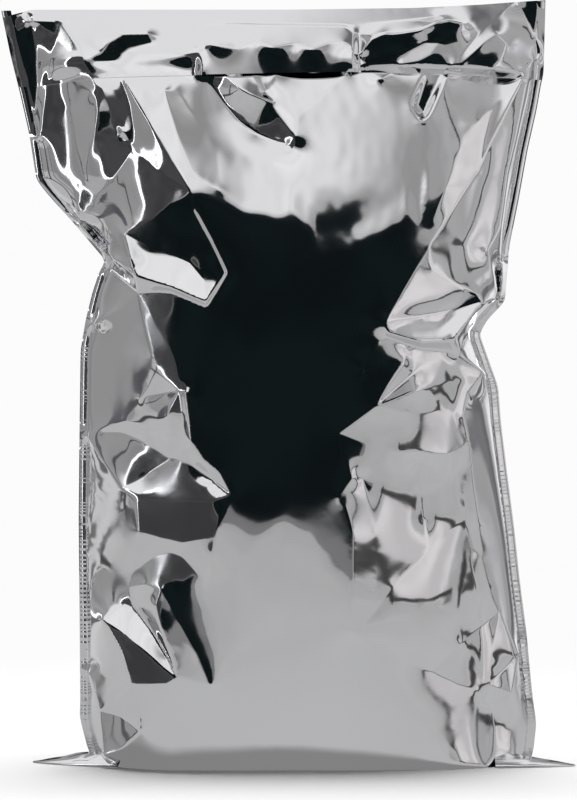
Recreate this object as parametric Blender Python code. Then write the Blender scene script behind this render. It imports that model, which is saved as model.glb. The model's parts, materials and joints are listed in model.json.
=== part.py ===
"""A filled and sealed mailer bag of mirror-bright film, standing on its flattened base.

The film is drawn as it lies on the real bag: a smooth pillow over the contents, the folds that stand off
that pillow, and the film that hangs between the folds. Run it with blender --background --python part.py
"""

import math

import bmesh
import bpy
import numpy as np
from mathutils import Matrix, Vector
from mathutils.geometry import delaunay_2d_cdt

MM = 0.001

# Driving sizes, in metres
FLAT_WIDTH = 0.3258  # the empty bag from side seam to side seam
STANDING_HEIGHT = 0.457  # base to the highest point of the folded top
FRONT_BULGE = 0.053  # how far the full front stands off the plane of the side seams
BACK_BULGE = 0.047
SEAM_WIDTH = 0.005  # welded band down each side
SEAM_THICKNESS = 0.0012
SEAM_CURL = 0.0022  # how far the outer edge of a side band curls back
FLAP_THICKNESS = 0.0012  # step where the lip, folded over the top and stuck down, ends
BASE_ROUNDING = 0.005  # radius where the panels turn under the bag
EAR_LENGTH = 0.052  # each folded corner, from its root under the base to its tip
EAR_ROOT = 0.046  # width of a folded corner where it leaves the base
EAR_HEIGHT = 0.009
EAR_THICKNESS = 0.0011  # at the tip
FOLD_REACH = 0.034  # distance over which a fold's lift dies away into the pillow
FLATNESS = 0.8  # share of the pillow's roundness that film gives up between two folds
HANGING_ROUNDS = 400
FRONT_STEP = 0.0068  # distance between neighbouring points of the front
BACK_STEP = 0.0108
EDGE_STEP = 0.008
FOLD_STEP = 0.0056
BELLY_TILT = math.radians(1.6)
BROW_TILT = math.radians(3)
BEND_SOFTNESS = 0.0015
MIDDLE_ROUNDING = 0.35  # slight roundness of the middle of the front, as depth per square metre

# The tables below are in millimetres on a bag of this size, and follow the driving sizes

# The folds of the front were read off a straight view of the bag from this far away, at this height
EYE_DISTANCE, EYE_HEIGHT = 1500, 217

# Outline of the standing bag in the plane of its side seams: (up, across)
LEFT_EDGE = [
    (0, -117), (9, -121), (27, -125.4), (37, -125), (85, -125.4), (145, -126), (205, -125.4),
    (247, -124.8), (265, -121.8), (282, -117.6), (296, -112.8), (300, -109.2), (322, -127.8),
    (340, -144), (349, -151.2), (376, -155.4), (400, -160.8), (424, -166.8), (447, -171.6),
]
RIGHT_EDGE = [
    (0, 145), (6, 147), (23, 148.8), (40, 146.4), (78, 142.8), (111, 138.6), (140, 135.6),
    (173, 131.4), (204, 127.6), (225, 126), (233, 123), (257, 114.5), (266, 120), (276, 129.9),
    (310, 132.6), (337, 138), (367, 143.4), (391, 148.8), (409, 152), (412, 153), (456, 154.2),
]
# Height of the folded top: (across, up)
TOP_EDGE = [(-172, 446.8), (-156, 451), (0, 451), (75, 452), (115, 454), (155, 457)]
# Height of the lower edge of the stuck-down lip: (across, up)
FLAP_EDGE = [(-172, 404.5), (-152, 405), (-116, 408), (-59, 408.8), (34, 410.6), (97, 410.6), (124, 409.5), (154, 409)]
FLAP_LEVEL = 411  # height at which the places across the lip are read
# Depth of the middle of each panel: (up, depth)
FRONT_CROWN = [
    (0, 44), (20, 47.5), (50, 50), (100, 52), (150, 53), (200, 53), (250, 52.5), (280, 51.5),
    (307, 49), (330, 45.5), (342, 43.2), (360, 39.2), (380, 34), (400, 27.8), (411, 23.5),
    (430, 13.8), (445, 5), (451, 1.5), (457, 0.3),
]
BACK_CROWN = [
    (0, 42), (20, 44), (60, 46), (120, 47), (200, 46.5), (260, 45), (310, 41.5), (350, 36),
    (380, 29), (410, 20), (435, 9.5), (450, 2.5), (457, 0.3),
]
# Distance from a seam over which a panel rounds up to its full depth: (up, distance)
ROUNDING_REACH = [(0, 46), (20, 60), (60, 88), (120, 105), (280, 100), (340, 80), (400, 84), (457, 120)]

CROWN_SOFTNESS = 9  # millimetres over which the bends of a crown are eased
EDGE_SOFTNESS = 2.2
SIDE_CROWDING = 1.2  # how far points crowd towards the seams, in radians of the sine that spaces them

# Tips where the folds of the front meet: (across, up, forward)
TIPS = {
    # shoulder on the left, under the corner of the lip
    "strip_top": (-156, 450, 1),
    "strip_foot": (-150.6, 352, 1.3),
    "lip_notch": (-137.4, 443.4, 6),
    "pleat_side": (-150.6, 374, 4.5),
    "pleat_top": (-117, 407, 21),
    "pleat_elbow": (-114.6, 391, 25),
    "left_hip": (-126, 324, 10),
    "pocket_mouth": (-99.6, 407.8, 23.5),
    "pocket_corner": (-94.2, 368.2, 30),
    "brace_top": (-98.4, 409, 24.5),
    # the beak, a blunt spur that stands off the left shoulder
    "shoulder": (-58.8, 341.8, 43.5),
    "beak_back": (-99.6, 317.2, 38),
    "beak_middle": (-58.8, 299.8, 44.3),
    "beak_heel": (-91.8, 290.8, 45),
    "beak_nose": (-37.8, 293.2, 48),
    "beak_chin": (-50, 275, 51.5),
    # flank on the left
    "neck": (-90.6, 281.2, 37),
    "chest": (-66, 222.4, 49.5),
    "chest_notch": (-89.4, 218.2, 36.5),
    "elbow": (-70.2, 181.8, 39.4),
    "flank_seam": (-121.8, 196, 6),
    "shelf_back": (-99.9, 163.6, 34),
    "shelf_tip": (-34.2, 160, 55.6),
    "fin_foot": (-95.4, 104.8, 33),
    "sliver_top": (-76.2, 103.6, 48.5),
    "sliver_tip": (-46.2, 44.8, 53),
    "fan_back": (-112.8, 85.4, 35),
    "fan_tip": (-67.2, 50.2, 51),
    "fan_heel": (-95, 45.4, 45.2),
    "instep": (-121, 53.8, 8),
    "ankle": (-113.4, 30.4, 23),
    "toe": (-88.8, 17.2, 47),
    "heel": (-111, 3, 31),
    # the swag, film that sags from under the middle of the lip
    "swag_left": (-54, 413, 25.5),
    "swag_right": (34, 413, 26.5),
    "swag_middle": (5.4, 386.5, 34),
    # shoulder on the right
    "lip_peak": (128, 455, 2),
    "dart_foot": (97, 404, 24.5),
    "long_top": (140.7, 410.2, 12),
    "right_elbow": (84.6, 310, 46.2),
    "right_elbow_back": (119.4, 307.6, 27),
    "right_hip": (127, 277, 9),
    "knuckle_back": (117, 276, 34),
    "knuckle_front": (58.2, 263.8, 54.5),
    "knuckle_under": (99.6, 253, 45.5),
    # flank on the right
    "petal_root": (58.2, 255.4, 50.5),
    "petal_tip": (43.5, 235.4, 54.5),
    "petal_back": (69.8, 239.8, 50.5),
    "sash_top": (99, 246.4, 37),
    "fist_front": (52.8, 213.4, 54.5),
    "fist_back": (118.5, 233.2, 22),
    "palm_front": (29.8, 196.9, 54.5),
    "palm_back": (108.8, 191, 31),
    "wrist": (105, 208, 34.5),
    "cheek_tip": (28.7, 158.4, 54.5),
    "rail_middle": (106.6, 146.4, 28.6),
    "rail_low": (126.6, 89.2, 16),
    "panel_corner": (38.5, 77, 53.2),
    "hem_middle": (85.8, 53.9, 38),
    "hem_end": (117.6, 34.1, 28),
    "cuff_top": (138.5, 64.9, 8.5),
    "cuff_in": (120.9, 45.2, 26),
    "cuff_out": (134.1, 40.7, 17),
    "toe_right": (131.9, 22.1, 19),
    "heel_right": (134.6, 3.4, 18),
}

# Every fold of the front, as tips and (across, up, forward) points between them
FRONT_FOLDS = {
    "drop": [(49, 414, 24), (56, 409.6, 27.4), (61.4, 414, 24)],
    "strip": ["strip_top", (-151, 421, 1.4), (-152, 391, 1.4), (-152.4, 367, 1.4), "strip_foot"],
    "pleat valley": ["lip_notch", (-142.8, 421, 7), (-146.4, 397, 6.5), "pleat_side"],
    "pleat ridge": [
        "strip_top", "lip_notch", (-124.8, 427, 14), "pleat_top", "pleat_elbow", (-116.4, 379, 25.5),
        (-121.8, 355, 20), (-127, 334, 13), "left_hip",
    ],
    "pleat cross": ["pleat_side", (-136.8, 389.8, 12.5), (-118.2, 401.8, 22)],
    "pocket floor": ["pleat_top", (-112.8, 405.4, 22.5), (-105.6, 385, 26.5), (-99.6, 373, 28), "pocket_corner"],
    "pocket side": ["pocket_mouth", (-95.4, 394, 27.5), (-93.6, 379, 29.5), "pocket_corner"],
    "pocket tuck": [(-104, 372.4, 27), (-99.6, 379.6, 30.5), (-95.4, 371, 29)],
    "pocket sill": ["pocket_corner", (-105.6, 349, 26), (-119, 332.8, 17), "left_hip"],
    "brace": ["brace_top", (-82.8, 382, 35), (-69.6, 359.8, 40.3), "shoulder"],
    "brace valley": ["pocket_corner", (-78, 354, 37), "shoulder"],
    "dent left": [(-75, 404, 29.4), (-67.8, 379, 36), (-57.6, 353.8, 41.2), (-40.2, 343, 42.4)],
    "dent right": [(-75, 404, 29.4), (-64.8, 400, 27.4), (-43.8, 367, 35.4), (-40.2, 343, 42.4)],
    "beak crown": ["shoulder", (-79, 328.5, 42), "beak_back"],
    "beak side": ["beak_back", "beak_heel"],
    "beak crease": ["beak_back", "beak_middle", (-50.6, 289, 47.2), "beak_chin"],
    "beak front": ["shoulder", (-57, 331, 45), (-47.4, 313, 47), "beak_nose", "beak_chin"],
    "beak gap": [(-54.6, 331, 43.2), (-44.6, 313, 44.5), (-35, 293.4, 45.5), (-47.6, 272.4, 46.5)],
    "beak edge": ["beak_heel", (-72, 284.5, 48.6), "beak_chin"],
    "under beak": ["neck", (-71, 281.4, 42.5), (-47.6, 272.4, 46.5)],
    "hip crease": ["left_hip", (-112.8, 308.2, 21), "beak_heel"],
    "waist crease": [(-120, 261.4, 4), (-110.7, 267.4, 17), (-100.8, 272.2, 27), "neck"],
    "neck fold": ["beak_heel", "neck"],
    "neck side": [(-108, 298, 4), (-101, 290, 20), "neck"],
    "chest rim": ["neck", (-87, 265, 41), (-81.6, 244, 44.3), (-80, 235, 43.5), "chest"],
    "chest lip": [
        "neck", (-82.8, 269.8, 42.5), (-72.6, 251.2, 47), (-67.8, 239.2, 48.6), "chest",
        (-63.8, 209.8, 50.2), (-63.4, 197.2, 48.6), (-64.2, 187, 44.4), (-56, 176.8, 44),
        (-45, 168.6, 48.6), "shelf_tip",
    ],
    "chest cut": ["chest", (-73.8, 221.2, 43.5), "chest_notch"],
    "chest side": [(-80, 235, 43.5), (-84, 226, 40), "chest_notch"],
    "chest line": ["chest", (-72.6, 209, 47.4), (-71.4, 193.6, 45), "elbow"],
    "crescent top": ["flank_seam", (-109.2, 201.6, 19.5), (-97.2, 205, 30), (-85, 200, 37), "elbow"],
    "crescent low": [(-112.2, 197.2, 15.5), (-100.2, 197.5, 25.5), (-87, 192, 34), "elbow"],
    "shelf side": ["flank_seam", (-111, 180, 21), "shelf_back"],
    "shelf crease": ["elbow", (-85.2, 172.4, 36), "shelf_back"],
    "shelf edge": ["shelf_back", (-90.9, 159.4, 39), (-77, 158, 45.6), (-63.6, 157, 50.6), (-45, 155.8, 55), "shelf_tip"],
    "belly edge": ["shelf_tip", (-42.6, 140.8, 55.8), (-46, 124, 54.8), (-49.8, 107.8, 51.8)],
    "belly side": ["shelf_back", (-99.6, 151, 32.8), (-99, 133, 32.6), (-97, 114, 32), "fin_foot"],
    "belly turn": [(-90, 154, 38.4), (-89.4, 138, 38.4), (-89.4, 122, 37.6)],
    "belly crest": [(-86, 138, 41.6), (-77, 138, 46.2), (-63.6, 138, 51.4), (-45, 138, 55.6)],
    "arch": [
        "fin_foot", (-93, 114, 34.6), (-81, 123, 40.6), (-71.1, 126, 44.4), (-63.2, 123, 47.4), (-57, 116, 49.4),
        (-52.2, 111, 50.8), (-49.8, 107.8, 51.8),
    ],
    "dome": ["fin_foot", (-86, 106.8, 43.5), "sliver_top"],
    "sliver right": ["sliver_top", (-66, 85, 50.5), (-55.8, 67, 52), "sliver_tip"],
    "sliver left": ["sliver_top", (-80.4, 94, 47.2), (-76.8, 79, 48.6), "fan_tip"],
    "sliver foot": ["fan_tip", "sliver_tip"],
    "fan valley": ["fin_foot", (-94.2, 94.2, 33.5), (-81, 77.2, 41), (-72, 61.6, 46), "fan_tip"],
    "fan head": ["fan_back", (-99, 94.2, 33), (-94.2, 94.2, 33.5)],
    "fan ridge": ["fan_back", (-102, 79, 40.4), (-92, 70.4, 45), (-79, 60, 48.6), "fan_tip"],
    "fan edge": ["fan_back", (-108, 79.4, 37.6), (-100.2, 65.2, 43), "fan_heel", (-73.2, 46, 50.6), "fan_tip"],
    "instep top": ["instep", (-109.8, 52, 25), "fan_heel"],
    "instep side": ["instep", "ankle", (-103.8, 35.6, 33), "fan_heel"],
    "toe top": ["ankle", (-101, 26.6, 34), "toe"],
    "toe foot": ["ankle", (-112, 16, 27), "heel", (-100, 7, 39.5), "toe"],
    "toe bridge": ["fan_heel", (-90.5, 30, 44.8), "toe"],
    "swag foot": [
        (-54, 414, 25), (-51, 415, 23), (-45, 404.8, 22), (-37.8, 394.6, 23), (-28.8, 383.8, 25), (-17.4, 376, 26.6),
        (-6.6, 372.1, 29), (2, 371.4, 33.6),
    ],
    "swag ridge": [
        (-39.6, 413.6, 24), (-28.8, 403.6, 32), (-20.6, 399.6, 33.2), (-14.6, 397.6, 31.6), (-8.4, 396, 29),
    ],
    "swag pocket": [(-20, 414, 25), (-13.6, 401, 26.6), (-7.6, 414, 25)],
    "swag flute": [(-13.6, 401, 26.6), (-8.4, 396, 29), (5.4, 385.4, 32.8), (4.6, 373.6, 36.2)],
    "swag edge": [(34.8, 414, 24), (20, 400, 28), (5.4, 385.4, 32.8)],
    "swag hem": [(-8.4, 396, 29), (-4.5, 386, 32), (4.6, 373.6, 36.2)],
    "hanging pleat": [(85, 415, 22), (92, 413, 22.4), (81, 388.6, 25), (76.8, 394.6, 25), (85, 415, 22)],
    "hanging rim": [(81, 415, 22.6), (73.4, 394, 30.2), (80, 383.6, 32.6), (84.6, 388, 31.4), (96, 412, 24)],
    "long ridge": [
        "long_top", (133, 395.8, 19), (121.8, 372.7, 26.4), (115.2, 355, 31), (103.2, 337.6, 37), "right_elbow",
    ],
    "long valley": [
        "long_top", (121.8, 392.4, 23.5), (106.6, 377.2, 29.8), (100, 359.5, 34.6), (94.6, 344.2, 38.8),
        (84, 318, 44),
    ],
    "cheek": [(144, 409, 8), (137.4, 374.8, 11), (132, 353, 14.5), (128.6, 322.2, 16), "right_hip"],
    "elbow top": ["right_elbow", (99, 311, 38), "right_elbow_back"],
    "elbow back": ["right_elbow_back", (128.6, 322.2, 16)],
    "elbow side": ["right_elbow_back", (124, 290, 18), "right_hip"],
    "knuckle ridge": ["right_elbow", (85.8, 296.8, 46.5), (100.2, 287.2, 41.5), (114.3, 280.6, 36), "knuckle_back"],
    "knuckle edge": ["right_elbow", (70, 285, 50.2), "knuckle_front"],
    "knuckle crease": ["knuckle_front", (78, 266.8, 46), (97.2, 270.6, 39), "knuckle_back"],
    "knuckle foot": ["knuckle_front", (59.5, 257, 55), (79.2, 251.8, 52.8), "knuckle_under", "knuckle_back"],
    "under knuckle": ["petal_root", (79.4, 248.6, 45.5), "sash_top"],
    "hip crease right": ["knuckle_back", "right_hip"],
    "hip fold right": ["knuckle_under", (112, 262, 20)],
    "petal": ["petal_root", "petal_tip", "petal_back", (70.8, 248.5, 47)],
    "petal edge": ["petal_back", (60, 226, 53), "fist_front"],
    "sash": ["sash_top", (80.3, 237.5, 45), (62, 221.5, 51), "fist_front"],
    "fist ridge": ["fist_front", (78, 223.2, 49.2), (100, 229, 37), "fist_back"],
    "fist valley": ["fist_front", (71.4, 209.2, 49), (95.6, 210.1, 38.5), "wrist"],
    "fist side": ["fist_back", (107.8, 221.2, 31.5), "wrist", "palm_back"],
    "fist seam": ["sash_top", (110, 240, 27), "fist_back"],
    "palm crease": ["palm_front", (47.3, 190.3, 52), (67.1, 185.4, 47.5), (94.6, 184.3, 39), "palm_back"],
    "palm edge": ["fist_front", "palm_front", (34.1, 181.6, 54.2), (39, 169.6, 53.6), "cheek_tip"],
    "panel edge": ["cheek_tip", (34.1, 152.6, 54), (38.4, 138.7, 54), (38.2, 108, 54), "panel_corner"],
    "panel side": [(44, 171, 50.2), (50, 150, 49.6), (52.5, 138, 49.4), (52.5, 108, 49.2), (53.9, 91.2, 48.6)],
    "panel middle": [(78, 182, 41), (81, 160, 37.4), (82, 144, 36.4), (83.6, 125.5, 38)],
    "rail": [
        "palm_back", (111, 166, 28.4), (114.3, 144, 25.6), (116.4, 121, 23.6), (121, 103, 20), "rail_low",
    ],
    "rail shadow": ["palm_back", (107.6, 176, 29.6), "rail_middle", (113, 125, 25)],
    "panel ridge": ["rail_middle", (83.6, 125.5, 38), (62.7, 105.5, 46.2), (53.9, 91.2, 48.6), "panel_corner"],
    "hem": [
        "panel_corner", (58.2, 68.2, 47), (67.1, 61.6, 44.6), "hem_middle", (102.2, 45.2, 33.5),
        (114.3, 41.8, 29.5), "hem_end",
    ],
    "hem ridge": ["hem_middle", (104, 70, 32.4), "rail_low"],
    "rail foot": ["rail_low", (122, 62, 23), "cuff_in", "hem_end"],
    "cuff": ["rail_low", "cuff_top", "cuff_in", "cuff_out", "hem_end", "toe_right", "heel_right"],
    "cuff side": ["cuff_top", "cuff_out", "toe_right"],
}

# How far the lower edge of the lip stands off the film under it: (across, lift)
FLAP_LIFT = [
    (-172, 0.6), (-120, 0.8), (-100, 1), (-62, 0.9), (-52, 3), (-20, 3.6), (10, 3.6), (36, 3.2), (41, 1.2), (60, 1.2),
    (90, 1), (100, 0.8), (154, 0.6),
]

# Folds of the lip
LIP_FOLDS = {
    "top crease": [(-158, 444, 4), (-120, 445.5, 6), (-58.8, 443.8, 7.5), (-34.8, 443.8, 8), (37.2, 442.6, 8), (90, 447, 5)],
    "blot": [
        (-115.8, 420, 15), (-108, 432, 14.6), (-99, 437.5, 14.8), (-84, 437.8, 15), (-82, 431, 15.4),
        (-96, 427, 15.6), (-104, 420, 16), (-115.8, 420, 15),
    ],
    "bulge top": [(-55.8, 437.2, 15), (-48, 440.5, 14), (-34.8, 442, 13), (0, 441.6, 13.4), (34.2, 440.8, 14), (38.4, 437.2, 16.5)],
    "bulge shoulder": [
        (-54.4, 430, 22), (-46, 430.5, 25), (-30, 428.4, 27), (-19, 431.5, 26), (-10, 428.4, 27.4), (4, 431.5, 26),
        (14, 427, 27.6), (24, 431.4, 26.2), (34, 432.6, 25.8), (38.6, 427, 25.5),
    ],
    "bulge left": [(-55.8, 437.2, 15), (-54.4, 430, 21.5), (-53.6, 420, 25), (-52, 411.8, 26.4)],
    "bulge right": [(38.4, 437.2, 16.5), (38.6, 427, 25.5), (38.4, 414, 27.6)],
    "beside bulge": [(42.4, 436, 12.5), (42.8, 425, 19.5), (42.6, 414, 24.5)],
    "roll": [
        (42.8, 425, 23), (50, 431.5, 22.6), (57, 435.4, 21.8), (64, 433.4, 22.2), (80, 436.2, 21.8), (88, 443, 18.5),
        (96, 444.4, 17.6), (106, 440.6, 16.6),
    ],
    "fleck": [(67, 420, 23.8), (74, 429, 17), (84, 434, 15), (94, 434.2, 15.2), (90, 427.5, 20), (80, 424, 22.2), (67, 420, 23.8)],
    "dart left": [(134, 455, 1.6), (117, 434, 12), (106, 420, 19), (95.4, 409.5, 25.2)],
    "dart right": [(138, 455, 1.6), (124, 438, 11), (111, 421, 19), (98, 409.5, 24)],
    "dart facet": [(124, 438, 11), (132, 431, 10), (131, 414, 14), (122, 410, 17.4)],
    "corner": [(138, 455, 1.6), (152.6, 424, 1.6), (138, 417, 8.6), (131, 414, 14)],
    "strip": [(-156, 450, 1.4), (-151.4, 426, 1.6), (-151.4, 405.6, 1.8)],
    "pleat valley": [(-137.4, 443.4, 5), (-142.8, 421, 6.5), (-145, 406, 6.8)],
    "pleat ridge": [(-156, 450, 1.4), (-137.4, 443.4, 5), (-124.8, 427, 13), (-117.4, 410, 20)],
}

# Where the front turns down towards the base, and where it leans back towards the lip: (across, up)
BELLY_TURN = [
    (-140, 128), (-52, 124), (-46, 118), (-38, 121), (-30, 117), (-21, 131), (-12, 142), (-2, 150.5), (5, 144), (14, 139),
    (22, 121), (31, 106), (36, 102), (60, 100), (150, 110),
]
BROW = [
    (-140, 345), (-59, 342), (-44, 333), (-29, 328), (-10, 325), (-3, 323.8), (1, 330), (7, 323), (13, 318), (17, 303),
    (24, 302), (38, 304), (53, 313), (66, 322), (69, 331), (73, 322), (78, 320), (80, 341), (93, 342), (150, 345),
]

# Folds of the back, seen from nowhere in the front view: true (across, up, backward) points
BACK_FOLDS = {
    "left shoulder ridge": [(-142, 440, 4), (-108, 392, 26), (-84, 342, 38.6), (-56, 298, 46)],
    "left shoulder valley": [(-148, 404, 4), (-119, 362, 12.5), (-96, 322, 23), (-66, 290, 36.5)],
    "left pleat": [(-108, 392, 26), (-112, 372, 15), (-84, 342, 38.6)],
    "left waist": [(-106, 300, 4), (-90, 302, 25), (-56, 298, 46), (-22, 309, 43.8)],
    "left hollow": [(-110, 276, 6), (-88, 282, 22), (-60, 272, 38), (-34, 254, 43)],
    "left flank": [(-56, 298, 46), (-74, 246, 43.4), (-86, 196, 40), (-76, 142, 43.6), (-88, 84, 39), (-62, 34, 47)],
    "left flank side": [(-110, 276, 6), (-106, 222, 18), (-109, 160, 15), (-113, 96, 12)],
    "left flank cross": [(-86, 196, 40), (-106, 222, 18), (-74, 246, 43.4)],
    "left thigh": [(-109, 160, 15), (-88, 166, 32), (-48, 150, 49), (-20, 158, 47)],
    "left calf": [(-76, 142, 43.6), (-52, 110, 43), (-28, 92, 46.5)],
    "left foot": [(-88, 84, 39), (-109, 50, 19), (-98, 18, 25), (-62, 34, 47)],
    "right shoulder ridge": [(140, 446, 3), (112, 398, 23), (86, 344, 37), (64, 300, 45)],
    "right shoulder valley": [(146, 420, 4), (122, 368, 14), (98, 322, 26), (72, 292, 37)],
    "right pleat": [(112, 398, 23), (118, 376, 14.5), (98, 356, 25)],
    "right waist": [(112, 262, 5), (96, 276, 25), (72, 292, 37), (64, 300, 45), (30, 304, 44.4)],
    "right hollow": [(112, 246, 7), (94, 256, 30), (66, 262, 43.5)],
    "right flank": [(66, 262, 43.5), (82, 236, 42), (90, 184, 38.5), (78, 128, 45), (94, 76, 38.6), (70, 30, 47)],
    "right flank side": [(116, 226, 8), (110, 190, 19), (117, 130, 16), (127, 76, 14)],
    "right flank cross": [(90, 184, 38.5), (110, 190, 19), (82, 236, 42)],
    "right thigh": [(117, 130, 16), (78, 128, 45), (40, 112, 49), (10, 118, 47)],
    "right foot": [(94, 76, 38.6), (122, 44, 19), (114, 14, 27), (70, 30, 47)],
    "middle sweep": [(-24, 366, 30.5), (-8, 318, 39.4), (4, 262, 43.4)],
    "middle crease": [(18, 214, 47.4), (-6, 182, 44.6), (-20, 158, 47)],
    "under the fold": [(-100, 426, 15), (-40, 404, 25), (30, 414, 19.5), (96, 428, 13)],
}


def scaled(table, key_scale, value_scale):
    keys, values = np.array(table, float).T
    return keys * MM * key_scale, values * MM * value_scale


def greatest(table, column):
    return max(row[column] for row in table) * MM


WIDER = FLAT_WIDTH / (greatest(RIGHT_EDGE, 1) - LEFT_EDGE[-1][1] * MM)
TALLER = STANDING_HEIGHT / greatest(TOP_EDGE, 1)
FULLER_FRONT = FRONT_BULGE / greatest(FRONT_CROWN, 1)
FULLER_BACK = BACK_BULGE / greatest(BACK_CROWN, 1)


def eased(keys, values, softness):
    """The curve through (keys, values), with its bends eased over that distance."""
    step = 0.5 * MM
    margin = 4 * softness
    at = np.arange(keys[0] - margin, keys[-1] + margin + step, step)
    straight = np.interp(at, keys, values)
    below, above = at < keys[0], at > keys[-1]
    straight[below] += (at[below] - keys[0]) * (values[1] - values[0]) / (keys[1] - keys[0])
    straight[above] += (at[above] - keys[-1]) * (values[-1] - values[-2]) / (keys[-1] - keys[-2])
    reach = int(3 * softness / step)
    kernel = np.exp(-0.5 * (np.arange(-reach, reach + 1) * step / softness) ** 2)
    kernel /= kernel.sum()
    smooth = np.convolve(np.pad(straight, reach, mode="reflect", reflect_type="odd"), kernel, "valid")
    return lambda x: np.interp(x, at, smooth)


left_edge = eased(*scaled(LEFT_EDGE, TALLER, WIDER), EDGE_SOFTNESS * MM)
right_edge = eased(*scaled(RIGHT_EDGE, TALLER, WIDER), EDGE_SOFTNESS * MM)
top_edge = eased(*scaled(TOP_EDGE, WIDER, TALLER), EDGE_SOFTNESS * MM)
flap_edge = eased(*scaled(FLAP_EDGE, WIDER, TALLER), EDGE_SOFTNESS * MM)
flap_lift = eased(*scaled(FLAP_LIFT, WIDER, FULLER_FRONT), EDGE_SOFTNESS * MM)
belly_turn = eased(*scaled(BELLY_TURN, WIDER, TALLER), 1.2 * MM)
brow = eased(*scaled(BROW, WIDER, TALLER), 0.8 * MM)
front_crown = eased(*scaled(FRONT_CROWN, TALLER, FULLER_FRONT), CROWN_SOFTNESS * MM)
back_crown = eased(*scaled(BACK_CROWN, TALLER, FULLER_BACK), CROWN_SOFTNESS * MM)
rounding_reach = eased(*scaled(ROUNDING_REACH, TALLER, WIDER), CROWN_SOFTNESS * MM)


def pillow(across, up, crown):
    """Distance of the smooth filled panel from the plane of the seams."""
    sagged = up + (STANDING_HEIGHT - top_edge(across)) * (up / STANDING_HEIGHT) ** 6
    depth = np.maximum(crown(sagged), 0)
    for inset in (across - left_edge(up), right_edge(up) - across):
        share = np.clip((inset - SEAM_WIDTH) / rounding_reach(up), 0, 1)
        depth = depth * np.sqrt(1 - (1 - share) ** 2)
    turn = np.clip(1 - up / BASE_ROUNDING, 0, 1)
    tucked = BASE_ROUNDING * (1 - np.sqrt(1 - turn**2))
    return SEAM_THICKNESS / 2 + np.maximum(depth - tucked, 0)


def across_of(film, up):
    """Where a point of the film, from -1 at the left seam to 1 at the right one, stands across the bag."""
    left, right = left_edge(up), right_edge(up)
    return (left + right) / 2 + (right - left) / 2 * np.sin(film * SIDE_CROWDING) / math.sin(SIDE_CROWDING)


def film_of(across, up):
    left, right = left_edge(up), right_edge(up)
    share = np.clip((2 * across - left - right) / (right - left), -1, 1)
    return np.arcsin(share * math.sin(SIDE_CROWDING)) / SIDE_CROWDING


def seen(across, up, forward):
    """The true place of a point that the view shows at (across, up) and that stands forward of the seams."""
    nearness = 1 - forward / EYE_DISTANCE
    return across * nearness, EYE_HEIGHT + (up - EYE_HEIGHT) * nearness, forward


def fold_lines(folds, tips, fuller, place):
    """Each fold as an array of true (across, up, depth) points, in metres."""
    lines = []
    for points in folds.values():
        line = [place(*(tips[p] if isinstance(p, str) else p)) for p in points]
        lines.append(np.array(line) * MM * [WIDER, TALLER, fuller])
    return lines


def stepped(line, step):
    """The same line with a point every step or less."""
    parts = [line[:1]]
    for start, end in zip(line, line[1:]):
        count = max(1, math.ceil(np.linalg.norm(end[:2] - start[:2]) / step))
        parts.append(start + (end - start) * np.linspace(0, 1, count + 1)[1:, None])
    return np.concatenate(parts)


def roof(step):
    """The top of a panel as (film, up) points from left to right."""
    run = np.linspace(-1, 1, math.ceil(FLAT_WIDTH / step) + 1)
    return np.stack([run, top_edge(across_of(run, STANDING_HEIGHT))], 1)


def outline(step):
    """The edge of a panel as (film, up) points: along the base, up the right seam, along the top and down."""
    top = roof(step)
    rise = np.linspace(0, 1, math.ceil(STANDING_HEIGHT / step) + 1)
    right = np.stack([np.ones(len(rise)), rise * top[-1, 1]], 1)
    left = np.stack([-np.ones(len(rise)), rise * top[0, 1]], 1)
    return np.concatenate([top[:-1] * [1, 0], right[:-1], top[:0:-1], left[:0:-1]])


def lattice(step):
    """Points in staggered rows that fill a panel, as (film, up)."""
    rows = []
    pitch = step * math.sqrt(3) / 2
    for row in range(1, int(STANDING_HEIGHT / pitch)):
        shift = step / 2 * (row % 2)
        film = np.arange(-FLAT_WIDTH / 2 + shift, FLAT_WIDTH / 2, step) / (FLAT_WIDTH / 2)
        rows.append(np.stack([film, np.full(len(film), row * pitch)], 1))
    return np.concatenate(rows)


def clear_of(points, taken, distance):
    """The points that keep that distance from every taken one."""
    cell = distance
    grid = {}
    for x, y in taken.tolist():
        grid.setdefault((int(x // cell), int(y // cell)), []).append((x, y))
    kept = []
    for x, y in points.tolist():
        column, row = int(x // cell), int(y // cell)
        near = [q for i in (-1, 0, 1) for j in (-1, 0, 1) for q in grid.get((column + i, row + j), ())]
        if all((x - q[0]) ** 2 + (y - q[1]) ** 2 >= distance**2 for q in near):
            kept.append((x, y))
            grid.setdefault((column, row), []).append((x, y))
    return np.array(kept)


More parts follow.
